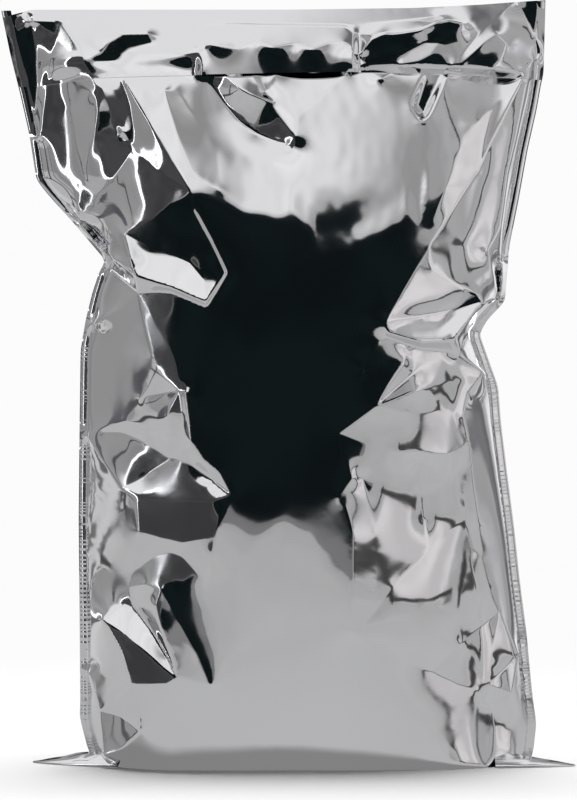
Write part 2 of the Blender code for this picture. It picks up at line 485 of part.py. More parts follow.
def hung(lift, pinned, places, faces, base):
    """The lift of film that hangs from its pinned points, and dies away with distance from them.

    Each point is pulled by its neighbours and, weakly, back to the base. FLATNESS is how far the film between
    two folds gives up the roundness of the base.
    """
    count = len(lift)
    starts, ends, stiffness = [], [], []
    area = np.zeros(count)
    for turn in range(3):
        i, j, k = (faces[:, (turn + n) % 3] for n in range(3))
        u, v = places[i] - places[k], places[j] - places[k]
        cross = np.maximum(np.abs(u[:, 0] * v[:, 1] - u[:, 1] * v[:, 0]), 1e-12)
        starts.append(i)
        ends.append(j)
        stiffness.append(np.clip((u * v).sum(axis=1) / cross, 0.02, 20) / 2)
        area += np.bincount(i, cross / 6, count)
    starts, ends, stiffness = map(np.concatenate, (starts, ends, stiffness))

    def pull(values):
        stretch = stiffness * (values[starts] - values[ends])
        return np.bincount(starts, stretch, count) - np.bincount(ends, stretch, count)

    free = ~pinned
    back = area / FOLD_REACH**2
    rest = -(FLATNESS * pull(base) + pull(lift) + back * lift) * free
    move = np.zeros(count)
    way, size = rest.copy(), rest @ rest
    goal = size * 1e-10
    for _ in range(HANGING_ROUNDS):
        if size <= goal:
            break
        push = (pull(way) + back * way) * free
        share = size / (way @ push)
        move += share * way
        rest -= share * push
        before, size = size, rest @ rest
        way = rest + size / before * way
    return lift + move


def soft_step(x, low, high):
    share = np.clip((x - low) / (high - low), 0, 1)
    return share * share * (3 - 2 * share)


def softly(x, softness):
    """0 below zero, x above it, with the bend between eased."""
    return (x + np.sqrt(x * x + softness * softness)) / 2


def turned(across, up):
    """The slight bends of the middle of the front, where it turns down to the base and back to the lip."""
    down = softly(belly_turn(across) - up, BEND_SOFTNESS)
    back = softly(up - brow(across), BEND_SOFTNESS) - softly(up - brow(across) - 0.014, 0.004)
    return -math.tan(BELLY_TILT) * down - math.tan(BROW_TILT) * back - MIDDLE_ROUNDING * (across + 0.018) ** 2


def seam_curl(across, up):
    """How far the welded side bands curl back, away from the front."""
    inset = np.minimum(across - left_edge(up), right_edge(up) - across)
    outer = np.clip(1 - inset / (SEAM_WIDTH * 1.2), 0, 1)
    return SEAM_CURL * outer**2 * (0.2 + 0.8 * soft_step(STANDING_HEIGHT * 0.72 - up, 0, 0.05))


def panel(lines, crown, step, flap):
    """One side of the bag: its points (across, up, depth), its triangles and the indices of its outline."""
    half = FLAT_WIDTH / 2
    edge = outline(EDGE_STEP)
    fixed = [edge * [half, 1]]
    pins = [np.zeros(len(edge))]
    links = [(i, (i + 1) % len(edge)) for i in range(len(edge))]

    def add(points, lifts):
        start = sum(map(len, fixed))
        fixed.append(points)
        pins.append(lifts)
        links.extend((start + i, start + i + 1) for i in range(len(points) - 1))

    seam_run = np.linspace(BASE_ROUNDING, STANDING_HEIGHT - SEAM_WIDTH * 3, int(STANDING_HEIGHT / step))
    for side in (-1, 1):
        at = (left_edge if side < 0 else right_edge)(seam_run) - side * SEAM_WIDTH
        add(np.stack([film_of(at, seam_run) * half, seam_run], 1), np.zeros(len(seam_run)))
    for line in lines:
        up = line[:, 1]
        line[:, 0] = np.clip(line[:, 0], left_edge(up) + SEAM_WIDTH / 2, right_edge(up) - SEAM_WIDTH / 2)
        lift = line[:, 2] - pillow(line[:, 0], up, crown)
        add(np.stack([film_of(line[:, 0], up) * half, up], 1), lift)
    if flap:
        run = np.linspace(-1, 1, math.ceil(FLAT_WIDTH / step) + 1)[1:-1]
        across = across_of(run, FLAP_LEVEL * MM * TALLER)
        add(np.stack([run * half, flap_edge(across)], 1), flap_lift(across))
        add(np.stack([run * half, flap_edge(across) - FLAP_THICKNESS / 2], 1), np.zeros(len(run)))
    fixed, pins = np.concatenate(fixed), np.concatenate(pins)
    ceiling = roof(EDGE_STEP) * [half, 1]
    inner = clear_of(lattice(step) * [half, 1], fixed, 0.62 * step)
    points = np.concatenate([fixed, inner])
    below = points[:, 1] < np.interp(points[:, 0], *ceiling.T) - 0.4 * step
    below[: len(fixed)] = True
    points = points[below]
    places, _, faces, origins, _, _ = delaunay_2d_cdt([Vector(p) for p in points], links, [], 0, 1e-6, True)
    film = np.array([p[:] for p in places])
    faces = np.array(faces)
    centres = film[faces].mean(axis=1)
    faces = faces[centres[:, 1] < np.interp(centres[:, 0], *ceiling.T)]
    lift = np.zeros(len(film))
    pinned = np.zeros(len(film), bool)
    index = np.full(len(points), -1)
    for new, olds in enumerate(origins):
        for old in olds:
            index[old] = new
            if old < len(pins) and not np.isnan(pins[old]):
                lift[new], pinned[new] = pins[old], True
    up = film[:, 1]
    across = across_of(film[:, 0] / half, up)
    base = pillow(across, up, crown)
    lift = hung(lift, pinned, np.stack([across, up], 1), faces, base)
    depth = np.maximum(base + lift, SEAM_THICKNESS / 2)
    if flap:
        level = flap_edge(across_of(film[:, 0] / half, FLAP_LEVEL * MM * TALLER))
        depth += FLAP_THICKNESS * (up > level - FLAP_THICKNESS / 4)
        inset = np.minimum(across - left_edge(up), right_edge(up) - across)
        depth += soft_step(inset, SEAM_WIDTH, 6 * SEAM_WIDTH) * turned(across, up)
        depth = np.maximum(depth, SEAM_THICKNESS / 2)
    return np.stack([across, up, depth], 1), faces, index[: len(edge)]


def on_one_side(lines, above):
    """The stretches of the lines that lie above the lower edge of the lip, or those below it."""
    kept = []
    for line in lines:
        line = stepped(line, FOLD_STEP)
        height = line[:, 1] - flap_edge(line[:, 0])
        inside = height > 0.0015 if above else height < -0.0025
        breaks = np.flatnonzero(np.diff(inside.astype(int))) + 1
        for run, share in zip(np.split(line, breaks), np.split(inside, breaks)):
            if share[0] and len(run) > 1:
                kept.append(run)
    return kept


def bag_body():
    """The filled bag without its folded corners, as one closed mesh."""
    front_lines = on_one_side(fold_lines(FRONT_FOLDS, TIPS, FULLER_FRONT, seen), above=False)
    lip_lines = on_one_side(fold_lines(LIP_FOLDS, TIPS, FULLER_FRONT, seen), above=True)
    back_lines = fold_lines(BACK_FOLDS, {}, FULLER_BACK, lambda *point: point)
    back_lines = [stepped(line, BACK_STEP) for line in back_lines]
    front, front_faces, front_edge = panel(front_lines + lip_lines, front_crown, FRONT_STEP, flap=True)
    back, back_faces, back_edge = panel(back_lines, back_crown, BACK_STEP, flap=False)
    bm = bmesh.new()
    near = [bm.verts.new((x, curl - depth, z)) for (x, z, depth), curl in zip(front, seam_curl(*front.T[:2]))]
    far = [bm.verts.new((x, curl + depth, z)) for (x, z, depth), curl in zip(back, seam_curl(*back.T[:2]))]
    for a, b, c in front_faces:
        bm.faces.new((near[a], near[b], near[c]))
    for a, b, c in back_faces:
        bm.faces.new((far[c], far[b], far[a]))
    count = len(front_edge)
    for i in range(count):
        j = (i + 1) % count
        ring = near[front_edge[j]], near[front_edge[i]], far[back_edge[i]], far[back_edge[j]]
        bm.faces.new(ring)
    bmesh.ops.recalc_face_normals(bm, faces=bm.faces)
    mesh = bpy.data.meshes.new("mailer_bag")
    bm.to_mesh(mesh)
    bm.free()
    return mesh, (front[:, 2].max() - back[:, 2].max()) / 2


def ear(side):
    """A bottom corner folded flat on the ground: a low wedge whose tip is the end of the bottom seam."""
    tip = side * FLAT_WIDTH / 2 + (right_edge(0) + left_edge(0)) / 2 * 0.65
    root = tip - side * EAR_LENGTH
    forward = 0.018 if side > 0 else 0.004
    half = EAR_ROOT / 2
    low, high = 0.0002, 0.0002 + EAR_THICKNESS
    corners = [(root, -0.004 - half, low), (root, -0.004 - half, high), (root, -0.004 - half * 0.25, EAR_HEIGHT)]
    corners += [(root, half - 0.004, low), (root, half - 0.004, high)]
    corners += [(tip, way * 0.0006 - forward, z) for way in (-1, 1) for z in (low, high)]
    bm = bmesh.new()
    for corner in corners:
        bm.verts.new(corner)
    bmesh.ops.convex_hull(bm, input=bm.verts)
    bmesh.ops.recalc_face_normals(bm, faces=bm.faces)
    mesh = bpy.data.meshes.new("ear")
    bm.to_mesh(mesh)
    bm.free()
    return mesh


def film_material():
    material = bpy.data.materials.new("silver_film")
    material.use_nodes = True
    shader = material.node_tree.nodes["Principled BSDF"]
    shader.inputs["Base Color"].default_value = (0.82, 0.82, 0.84, 1)
    shader.inputs["Metallic"].default_value = 1
    shader.inputs["Roughness"].default_value = 0.12
    return material


def main():
    for old in list(bpy.data.objects):
        bpy.data.objects.remove(old)
    parts = bpy.data.collections.new("mailer bag")
    cutters = bpy.data.collections.new("joined pieces")
    for collection in (parts, cutters):
        bpy.context.scene.collection.children.link(collection)
    body, middle = bag_body()
    to_middle = Matrix.Translation((0, middle, 0))
    body.transform(to_middle)
    bag = bpy.data.objects.new("mailer_bag", body)
    parts.objects.link(bag)
    bag.data.materials.append(film_material())
    for side, name in ((-1, "left_ear"), (1, "right_ear")):
        corner = bpy.data.objects.new(name, ear(side))
        corner.data.transform(to_middle)
        cutters.objects.link(corner)
        corner.hide_render = True
        corner.display_type = "WIRE"
        join = bag.modifiers.new(name, "BOOLEAN")
        join.operation = "UNION"
        join.object = corner
    bag.data.shade_smooth()
    bag.data.set_sharp_from_angle(angle=math.radians(30))


main()
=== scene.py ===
"""The looks of a filled mailer bag of mirror-bright film, standing on its flattened base.

The film is drawn as it lies on the real bag: a smooth pillow over the contents, the folds that stand off
that pillow, the film that hangs between the folds, and the small waves and scuffs of handled film.
"""

import json
import math

import bmesh
import bpy
import numpy as np
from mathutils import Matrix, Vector, noise
from mathutils.bvhtree import BVHTree
from mathutils.geometry import delaunay_2d_cdt

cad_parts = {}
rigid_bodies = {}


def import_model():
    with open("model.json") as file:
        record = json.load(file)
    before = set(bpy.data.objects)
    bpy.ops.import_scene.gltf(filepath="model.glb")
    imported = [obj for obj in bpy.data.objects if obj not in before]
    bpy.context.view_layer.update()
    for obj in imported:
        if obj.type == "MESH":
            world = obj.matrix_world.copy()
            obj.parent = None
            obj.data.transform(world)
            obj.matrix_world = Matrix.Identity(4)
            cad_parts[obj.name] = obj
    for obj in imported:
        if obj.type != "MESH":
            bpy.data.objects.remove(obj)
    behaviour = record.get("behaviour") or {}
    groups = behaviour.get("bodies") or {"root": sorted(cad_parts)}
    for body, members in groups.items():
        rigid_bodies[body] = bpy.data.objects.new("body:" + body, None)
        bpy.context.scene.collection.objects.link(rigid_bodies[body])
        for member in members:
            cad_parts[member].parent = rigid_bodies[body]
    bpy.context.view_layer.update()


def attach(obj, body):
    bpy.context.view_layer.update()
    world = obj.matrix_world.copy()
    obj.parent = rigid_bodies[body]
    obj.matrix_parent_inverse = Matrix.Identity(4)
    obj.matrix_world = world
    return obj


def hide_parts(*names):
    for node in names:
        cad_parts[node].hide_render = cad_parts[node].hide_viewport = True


MM = 0.001

# The bag's sizes, in metres
FLAT_WIDTH = 0.3258  # the empty bag from side seam to side seam
STANDING_HEIGHT = 0.457  # base to the highest point of the folded top
FRONT_BULGE = 0.053  # how far the full front stands off the plane of the side seams
BACK_BULGE = 0.047
SEAM_Y = 0.003  # the side seams stand this far behind the middle of the bag's depth
BASE_ROUNDING = 0.005  # radius where the panels turn under the bag
FOLD_REACH = 0.034  # distance over which a fold's lift dies away into the pillow
FLATNESS = 0.8  # share of the pillow's roundness that film gives up between two folds

# Welded side bands
SEAM_WIDTH = 0.005
SEAM_THICKNESS = 0.0012
SEAM_SWELLING = 0.00022  # how far a band swells off the film
# Section of a band: (inset in widths, share of the swelling)
SEAM_PROFILE = [(1.15, 0.35), (0.85, 1), (0.5, 1), (0.15, 0.8), (-0.02, 0)]
SEAM_CURL = 0.0022  # how far the outer edge of a band curls back
CURL_REACH = 1.2  # how far inwards it curls, in widths of the band
CURL_LEAST = 0.45  # share of the curl that is left in the upper part of the bag
CURL_LEVEL = 0.72  # where the upper part begins, as a share of the height
CURL_FADE = 0.05
CRIMP_PITCH = 0.0027  # distance between two crimps
CRIMP_DEPTH = 0.00019
CRIMP_BEAT = (1.4, 0.009)  # how unevenly they are spaced: in pitches, and the length of that unevenness
CRIMP_STRENGTH = (0.35, 1.7, 0.012)  # how unevenly deep they are: middle, spread and length
CRIMP_TOP = 0.30  # they end at this height
CRIMP_FADE = 0.03

# The lip, which folds over the top and is stuck down on the front
FLAP_THICKNESS = 0.0009  # step where it ends
LIP_GAP = 0.0003  # between the lip and the film it is stuck to
LIP_GAP_FADE = 0.01  # the gap closes over this distance below the fold
STUCK_HEIGHT = (0.014, 0.004)  # glued strip along its lower edge, left and right of its bulge
BULGE_SIDE = 0.006  # width of each side of the bulge

# The folded corners of the base, which lie on the ground: length, root, how far the tip is forward, crest
EARS = {-1: (0.052, 0.101, 0.004, 0.0095), 1: (0.048, 0.122, 0.018, 0.0075)}
EAR_ROOT = 0.046  # width where a corner leaves the base
EAR_TIP = 0.0004  # half its width at the tip
EAR_FORWARD = 0.004  # how far its root stands in front of the seams
EAR_CREASES = 0.0035  # height of its small creases
EAR_HEIGHTS = (0.0002, 0.0009)  # its underside and its rim over the ground
EAR_UNDERSIDE = 0.995  # width of the underside, as a share of the upper side
EAR_STEPS = (30, 28)  # points along a corner and across it

# The middle of the front, which bends a little below BELLY_TURN and above BROW
BELLY_TILT = math.radians(1.6)  # downwards
BROW_TILT = math.radians(3)  # backwards
BEND_SOFTNESS = 0.0028
BROW_SPAN = 0.014  # height over which it leans back
BROW_SOFTNESS = 0.004
RAGGED = (0.0016, 0.006, 0.012)  # unevenness of both bends: depth, width and height
MIDDLE_ROUNDING = 0.35  # slight roundness, as depth per square metre
MIDDLE_X = -0.018  # where it stands furthest forward

# Small waves of the film: (height, width across, height up)
FRONT_WAVES = [(0.00016, 0.024, 0.075), (0.00018, 0.045, 0.05), (0.00003, 0.011, 0.014)]
BACK_WAVES = [(0.0004, 0.03, 0.06), (0.0003, 0.045, 0.04)]
SMOOTH_X = 0.005  # middle of the smooth part of the front
LIVELY = (0.055, 0.1)  # distances from it over which the small waves grow
LIVELIER = 2  # by how much
HANDLED = (0.05, 0.085)  # distances from it over which wrinkles and scuffs begin

# Distances between neighbouring points of the pieces
FRONT_STEP = 0.0021
BACK_STEP = 0.0032
LIP_STEP = 0.0018
EDGE_STEP = 0.003  # along the outline of a panel
FOLD_STEP = 0.0013  # along a fold
FOLD_ROWS = (0.0006, 0.0015)  # rows of points that run beside each fold
CRIMP_STEP = 0.00045  # along a side band
ON_EDGE = 1e-5  # a point this near the lip's lower edge lies on it
HANGING_ROUNDS = 600  # the most rounds taken to hang the film
FOLD_ROUNDS = 3  # how often the folds of the panels are rounded
LIP_ROUNDS = 3

# Finish of the film
FILM_TONE = (0.80, 0.80, 0.815)
FILM_ROUGHNESS = 0.05
SCUFF_ROUGHNESS = 0.16  # added where the film is scuffed
BUMP_HEIGHT = 0.00035
# Patterns of the film: how many to a metre, their detail, and how far the wrinkles are bent
SCUFFS = (22, 4)
SCUFFED_PART = (0.5, 0.72)  # where the pattern of scuffs begins to show, and where it shows fully
GRAIN = (900, 2)
WRINKLES = (42, 2, 0.4)

# Tones of the studio, as the camera sees it and as it lights the bag
FLOOR_TONE = (0.80, 0.80, 0.80)
BACKDROP = (0.97, 0.97, 0.97)
AMBIENT = 0.16
SUN_STRENGTH = 3.5
SUN_SOFTNESS = math.radians(24)
FLOOR_FADE = (0.09, 0.5)  # squared distances over which the floor fades into the backdrop

# The floor as the film mirrors it: a painted glow in place of the lit floor, with a painted shadow under the
# bag
FLOOR_IN_FILM = 0.5
SHADE_UNDER_BAG = (0.0026, 0.004)  # squared distances, with the width counted for less
BEHIND_BAG = (0.05, 0.35)  # distances behind the bag over which the floor turns patchy
PATCHES = (1.9, 0.5)  # how many to a metre, and their detail
DRIFT = (4.5, 1)

# The studio around, as the film mirrors it. Each border is soft and given as (outer end, inner end), in parts
# of a direction: upwards for a level, sideways along the ground for left and right
STUDIO_GREY = 0.34
WINDOW = {"level": (0.40, 0.50), "left": (-0.92, -0.8), "right": (0.3, 0.03), "tone": 0.55}
DARK_WALL = {"level": (0.5, 0.42), "left": (-0.55, -0.5), "right": (0.3, 0.25), "share": 0.92}
BRIGHT_WALL = {"level": (-0.1, 0.05), "left": (0.42, 0.47), "right": (0.86, 0.8), "tone": 0.55}
CEILING = {"level": (0.70, 0.80), "tone": 0.88}
BRIGHT_RIGHT = {"left": (0.1, 0.6), "tone": 0.1}
CLUTTER = 0.4  # how far the tones of the studio vary
STREAKS = (1.6, 1.5)  # how fine the pattern of that clutter is, and its detail
# Cards in the studio: place, (width, height), tone, width of the soft edge, and the point each faces
CARDS = {
    "dark_flag": ((0, -1.2, 0.445), (1.45, 0.89), (0.006, 0.010, 0.011), 0.01, (0, 0, 0.445)),
    "flag_foot": ((0, -1.19, 0.031), (1.45, 0.046), (0.22, 0.22, 0.225), 0.004, (0, 0, 0.031)),
    "left_dusk": ((-0.93, -1.03, 0.62), (0.56, 1.3), (0.06, 0.06, 0.064), 0.03, (0, 0, 0.62)),
    "left_strip": ((-1.13, -0.86, 0.62), (0.12, 1.3), (3.5, 3.55, 3.7), 0.035, (0, 0, 0.62)),
    "left_door": ((-1.3, -0.2, 0.55), (0.2, 1.2), (0.12, 0.12, 0.13), 0.05, (0, 0, 0.45)),
    "right_post": ((0.8, -0.98, 0.6), (0.025, 1.3), (0.03, 0.03, 0.03), 0.006, (0, 0, 0.45)),
    # painted shade: dark strips at the foot of the studio, standing in for the shadow where the floor meets
    # the walls and softboxes
    "right_painted_shade": ((1.02, -0.84, 0.034), (0.6, 0.05), (0.05, 0.05, 0.05), 0.012, (0, 0, 0.034)),
    "screen_painted_shade": ((1.28, -0.12, 0.034), (0.8, 0.05), (0.06, 0.06, 0.06), 0.012, (0, 0, 0.034)),
    "left_painted_shade": ((-1.25, -0.3, 0.034), (1.1, 0.05), (0.06, 0.06, 0.06), 0.012, (0, 0, 0.034)),
    "left_post": ((-1.22, -0.52, 0.6), (0.03, 1.3), (0.05, 0.05, 0.055), 0.008, (0, 0, 0.45)),
    "overhead_board": ((0.32, -0.1, 1.15), (0.7, 0.8), (0.2, 0.2, 0.205), 0.24, (0.32, -0.1, 0)),
    "overhead_bar": ((-0.5, 0.55, 1.3), (0.9, 0.08), (0.2, 0.2, 0.2), 0.03, (-0.4, 0.45, 0)),
    "back_strip": ((0.62, 1.15, 0.6), (0.12, 1.3), (2.6, 2.6, 2.7), 0.04, (0, 0, 0.45)),
    "back_stand": ((-0.86, 0.95, 0.6), (0.1, 1.3), (1.8, 1.8, 1.9), 0.04, (0, 0, 0.45)),
    "right_softbox": ((1.05, -0.85, 0.5), (0.52, 1.1), (0.76, 0.735, 0.74), 0.06, (0, 0, 0.45)),
    "right_stand": ((1.16, -0.5, 0.5), (0.06, 1.3), (0.05, 0.05, 0.05), 0.02, (0, 0, 0.45)),
    "right_screen": ((1.3, -0.12, 0.55), (0.5, 1.2), (0.66, 0.66, 0.68), 0.2, (0, 0, 0.45)),
    "right_door": ((1.2, 0.42, 0.55), (0.34, 1.2), (0.2, 0.2, 0.21), 0.08, (0, 0, 0.45)),
}
CARD_CLOUDS = (0.8, 1.12)  # the dimmest and brightest spots of a card, as shares of its tone

VIEW_HEIGHT = 480  # millimetres of the seams' plane that the camera shows from top to bottom

# The tables below are in millimetres on a bag of this size, and follow the driving sizes

# The folds of the front were read off a straight view of the bag from this far away, at this height
EYE_DISTANCE, EYE_HEIGHT = 1500, 217

# Outline of the standing bag in the plane of its side seams: (up, across)
LEFT_EDGE = [
    (0, -117), (9, -121), (27, -125.4), (37, -125), (85, -125.4), (145, -126), (205, -125.4),
    (247, -124.8), (265, -121.8), (282, -117.6), (296, -112.8), (300, -109.2), (322, -127.8),
    (340, -144), (349, -151.2), (376, -155.4), (400, -160.8), (424, -166.8), (447, -171.6),
]
RIGHT_EDGE = [
    (0, 145), (6, 147), (23, 148.8), (40, 146.4), (78, 142.8), (111, 138.6), (140, 135.6),
    (173, 131.4), (204, 127.6), (225, 126), (233, 123), (257, 114.5), (266, 120), (276, 129.9),
    (310, 132.6), (337, 138), (367, 143.4), (391, 148.8), (409, 152), (412, 153), (456, 154.2),
]
# Height of the folded top: (across, up)
TOP_EDGE = [(-172, 446.8), (-156, 451), (0, 451), (75, 452), (115, 454), (155, 457)]
# Height of the lower edge of the stuck-down lip: (across, up)
FLAP_EDGE = [
    (-172, 404.5), (-152, 405), (-116, 408), (-59, 408.8), (34, 410.6), (97, 410.6), (124, 409.5),
    (154, 409),
]
FLAP_LEVEL = 411  # height at which the places across the lip are read
# Depth of the middle of each panel: (up, depth)
FRONT_CROWN = [
    (0, 44), (20, 47.5), (50, 50), (100, 52), (150, 53), (200, 53), (250, 52.5), (280, 51.5),
    (307, 49), (330, 45.5), (342, 43.2), (360, 39.2), (380, 34), (400, 27.8), (411, 23.5),
    (430, 13.8), (445, 5), (451, 1.5), (457, 0.3),
]
BACK_CROWN = [
    (0, 42), (20, 44), (60, 46), (120, 47), (200, 46.5), (260, 45), (310, 41.5), (350, 36),
    (380, 29), (410, 20), (435, 9.5), (450, 2.5), (457, 0.3),
]
# Distance from a seam over which a panel rounds up to its full depth: (up, distance)
ROUNDING_REACH = [(0, 46), (20, 60), (60, 88), (120, 105), (280, 100), (340, 80), (400, 84), (457, 120)]

# Millimetres over which the bends of these curves are eased
CROWN_SOFTNESS = 9
EDGE_SOFTNESS = 2.2
BELLY_TURN_SOFTNESS = 1.2
BROW_LINE_SOFTNESS = 0.8

SIDE_CROWDING = 1.2  # how far points crowd towards the seams, in radians of the sine that spaces them

# Tips where the folds of the front meet: (across, up, forward)
TIPS = {
    # shoulder on the left, under the corner of the lip
    "strip_top": (-156, 450, 1),
    "strip_foot": (-150.6, 352, 1.3),
    "lip_notch": (-137.4, 443.4, 6),
    "pleat_side": (-150.6, 374, 4.5),
    "pleat_top": (-117, 407, 21),
    "pleat_elbow": (-114.6, 391, 25),
    "left_hip": (-126, 324, 10),
    "pocket_mouth": (-99.6, 407.8, 23.5),
    "pocket_corner": (-94.2, 368.2, 30),
    "brace_top": (-98.4, 409, 24.5),
    # the beak, a blunt spur that stands off the left shoulder
    "shoulder": (-58.8, 341.8, 43.5),
    "beak_back": (-99.6, 317.2, 38),
    "beak_middle": (-58.8, 299.8, 44.3),
    "beak_heel": (-91.8, 290.8, 45),
    "beak_nose": (-37.8, 293.2, 48),
    "beak_chin": (-50, 275, 51.5),
    # flank on the left
    "neck": (-90.6, 281.2, 37),
    "chest": (-66, 222.4, 49.5),
    "chest_notch": (-89.4, 218.2, 36.5),
    "elbow": (-70.2, 181.8, 39.4),
    "flank_seam": (-121.8, 196, 6),
    "shelf_back": (-99.9, 163.6, 34),
    "shelf_tip": (-34.2, 160, 55.6),
    "fin_foot": (-95.4, 104.8, 33),
    "sliver_top": (-76.2, 103.6, 48.5),
    "sliver_tip": (-46.2, 44.8, 54.5),
    "fan_back": (-112.8, 85.4, 35),
    "fan_tip": (-67.2, 50.2, 52.6),
    "fan_heel": (-95, 45.4, 46.6),
    "instep": (-121, 53.8, 8),
    "ankle": (-113.4, 30.4, 23),
    "toe": (-88.8, 17.2, 47),
    "heel": (-111, 3, 31),
    # the swag, film that sags from under the middle of the lip
    "swag_left": (-54, 413, 25.5),
    "swag_right": (34, 413, 26.5),
    "swag_middle": (5.4, 386.5, 34),
    # shoulder on the right
    "lip_peak": (128, 455, 2),
    "dart_foot": (97, 404, 24.5),
    "long_top": (140.7, 410.2, 12),
    "right_elbow": (84.6, 310, 46.2),
    "right_elbow_back": (119.4, 307.6, 27),
    "right_hip": (127, 277, 9),
    "knuckle_back": (117, 276, 34),
    "knuckle_front": (58.2, 263.8, 54.5),
    "knuckle_under": (99.6, 253, 45.5),
    # flank on the right
    "petal_root": (58.2, 255.4, 50.5),
    "petal_tip": (43.5, 235.4, 54.5),
    "petal_back": (69.8, 239.8, 50.5),
    "sash_top": (99, 246.4, 37),
    "fist_front": (52.8, 213.4, 54.5),
    "fist_back": (118.5, 233.2, 22),
    "palm_front": (29.8, 196.9, 54.5),
    "palm_back": (108.8, 191, 31),
    "wrist": (105, 208, 34.5),
    "cheek_tip": (28.7, 158.4, 54.5),
    "rail_middle": (106.6, 146.4, 28.6),
    "rail_low": (126.6, 89.2, 16),
    "panel_corner": (38.5, 77, 53.2),
    "hem_middle": (85.8, 53.9, 38),
    "hem_end": (117.6, 34.1, 28),
    "cuff_top": (138.5, 64.9, 8.5),
    "cuff_in": (120.9, 45.2, 26),
    "cuff_out": (134.1, 40.7, 17),
    "toe_right": (131.9, 22.1, 19),
    "heel_right": (134.6, 3.4, 18),
}

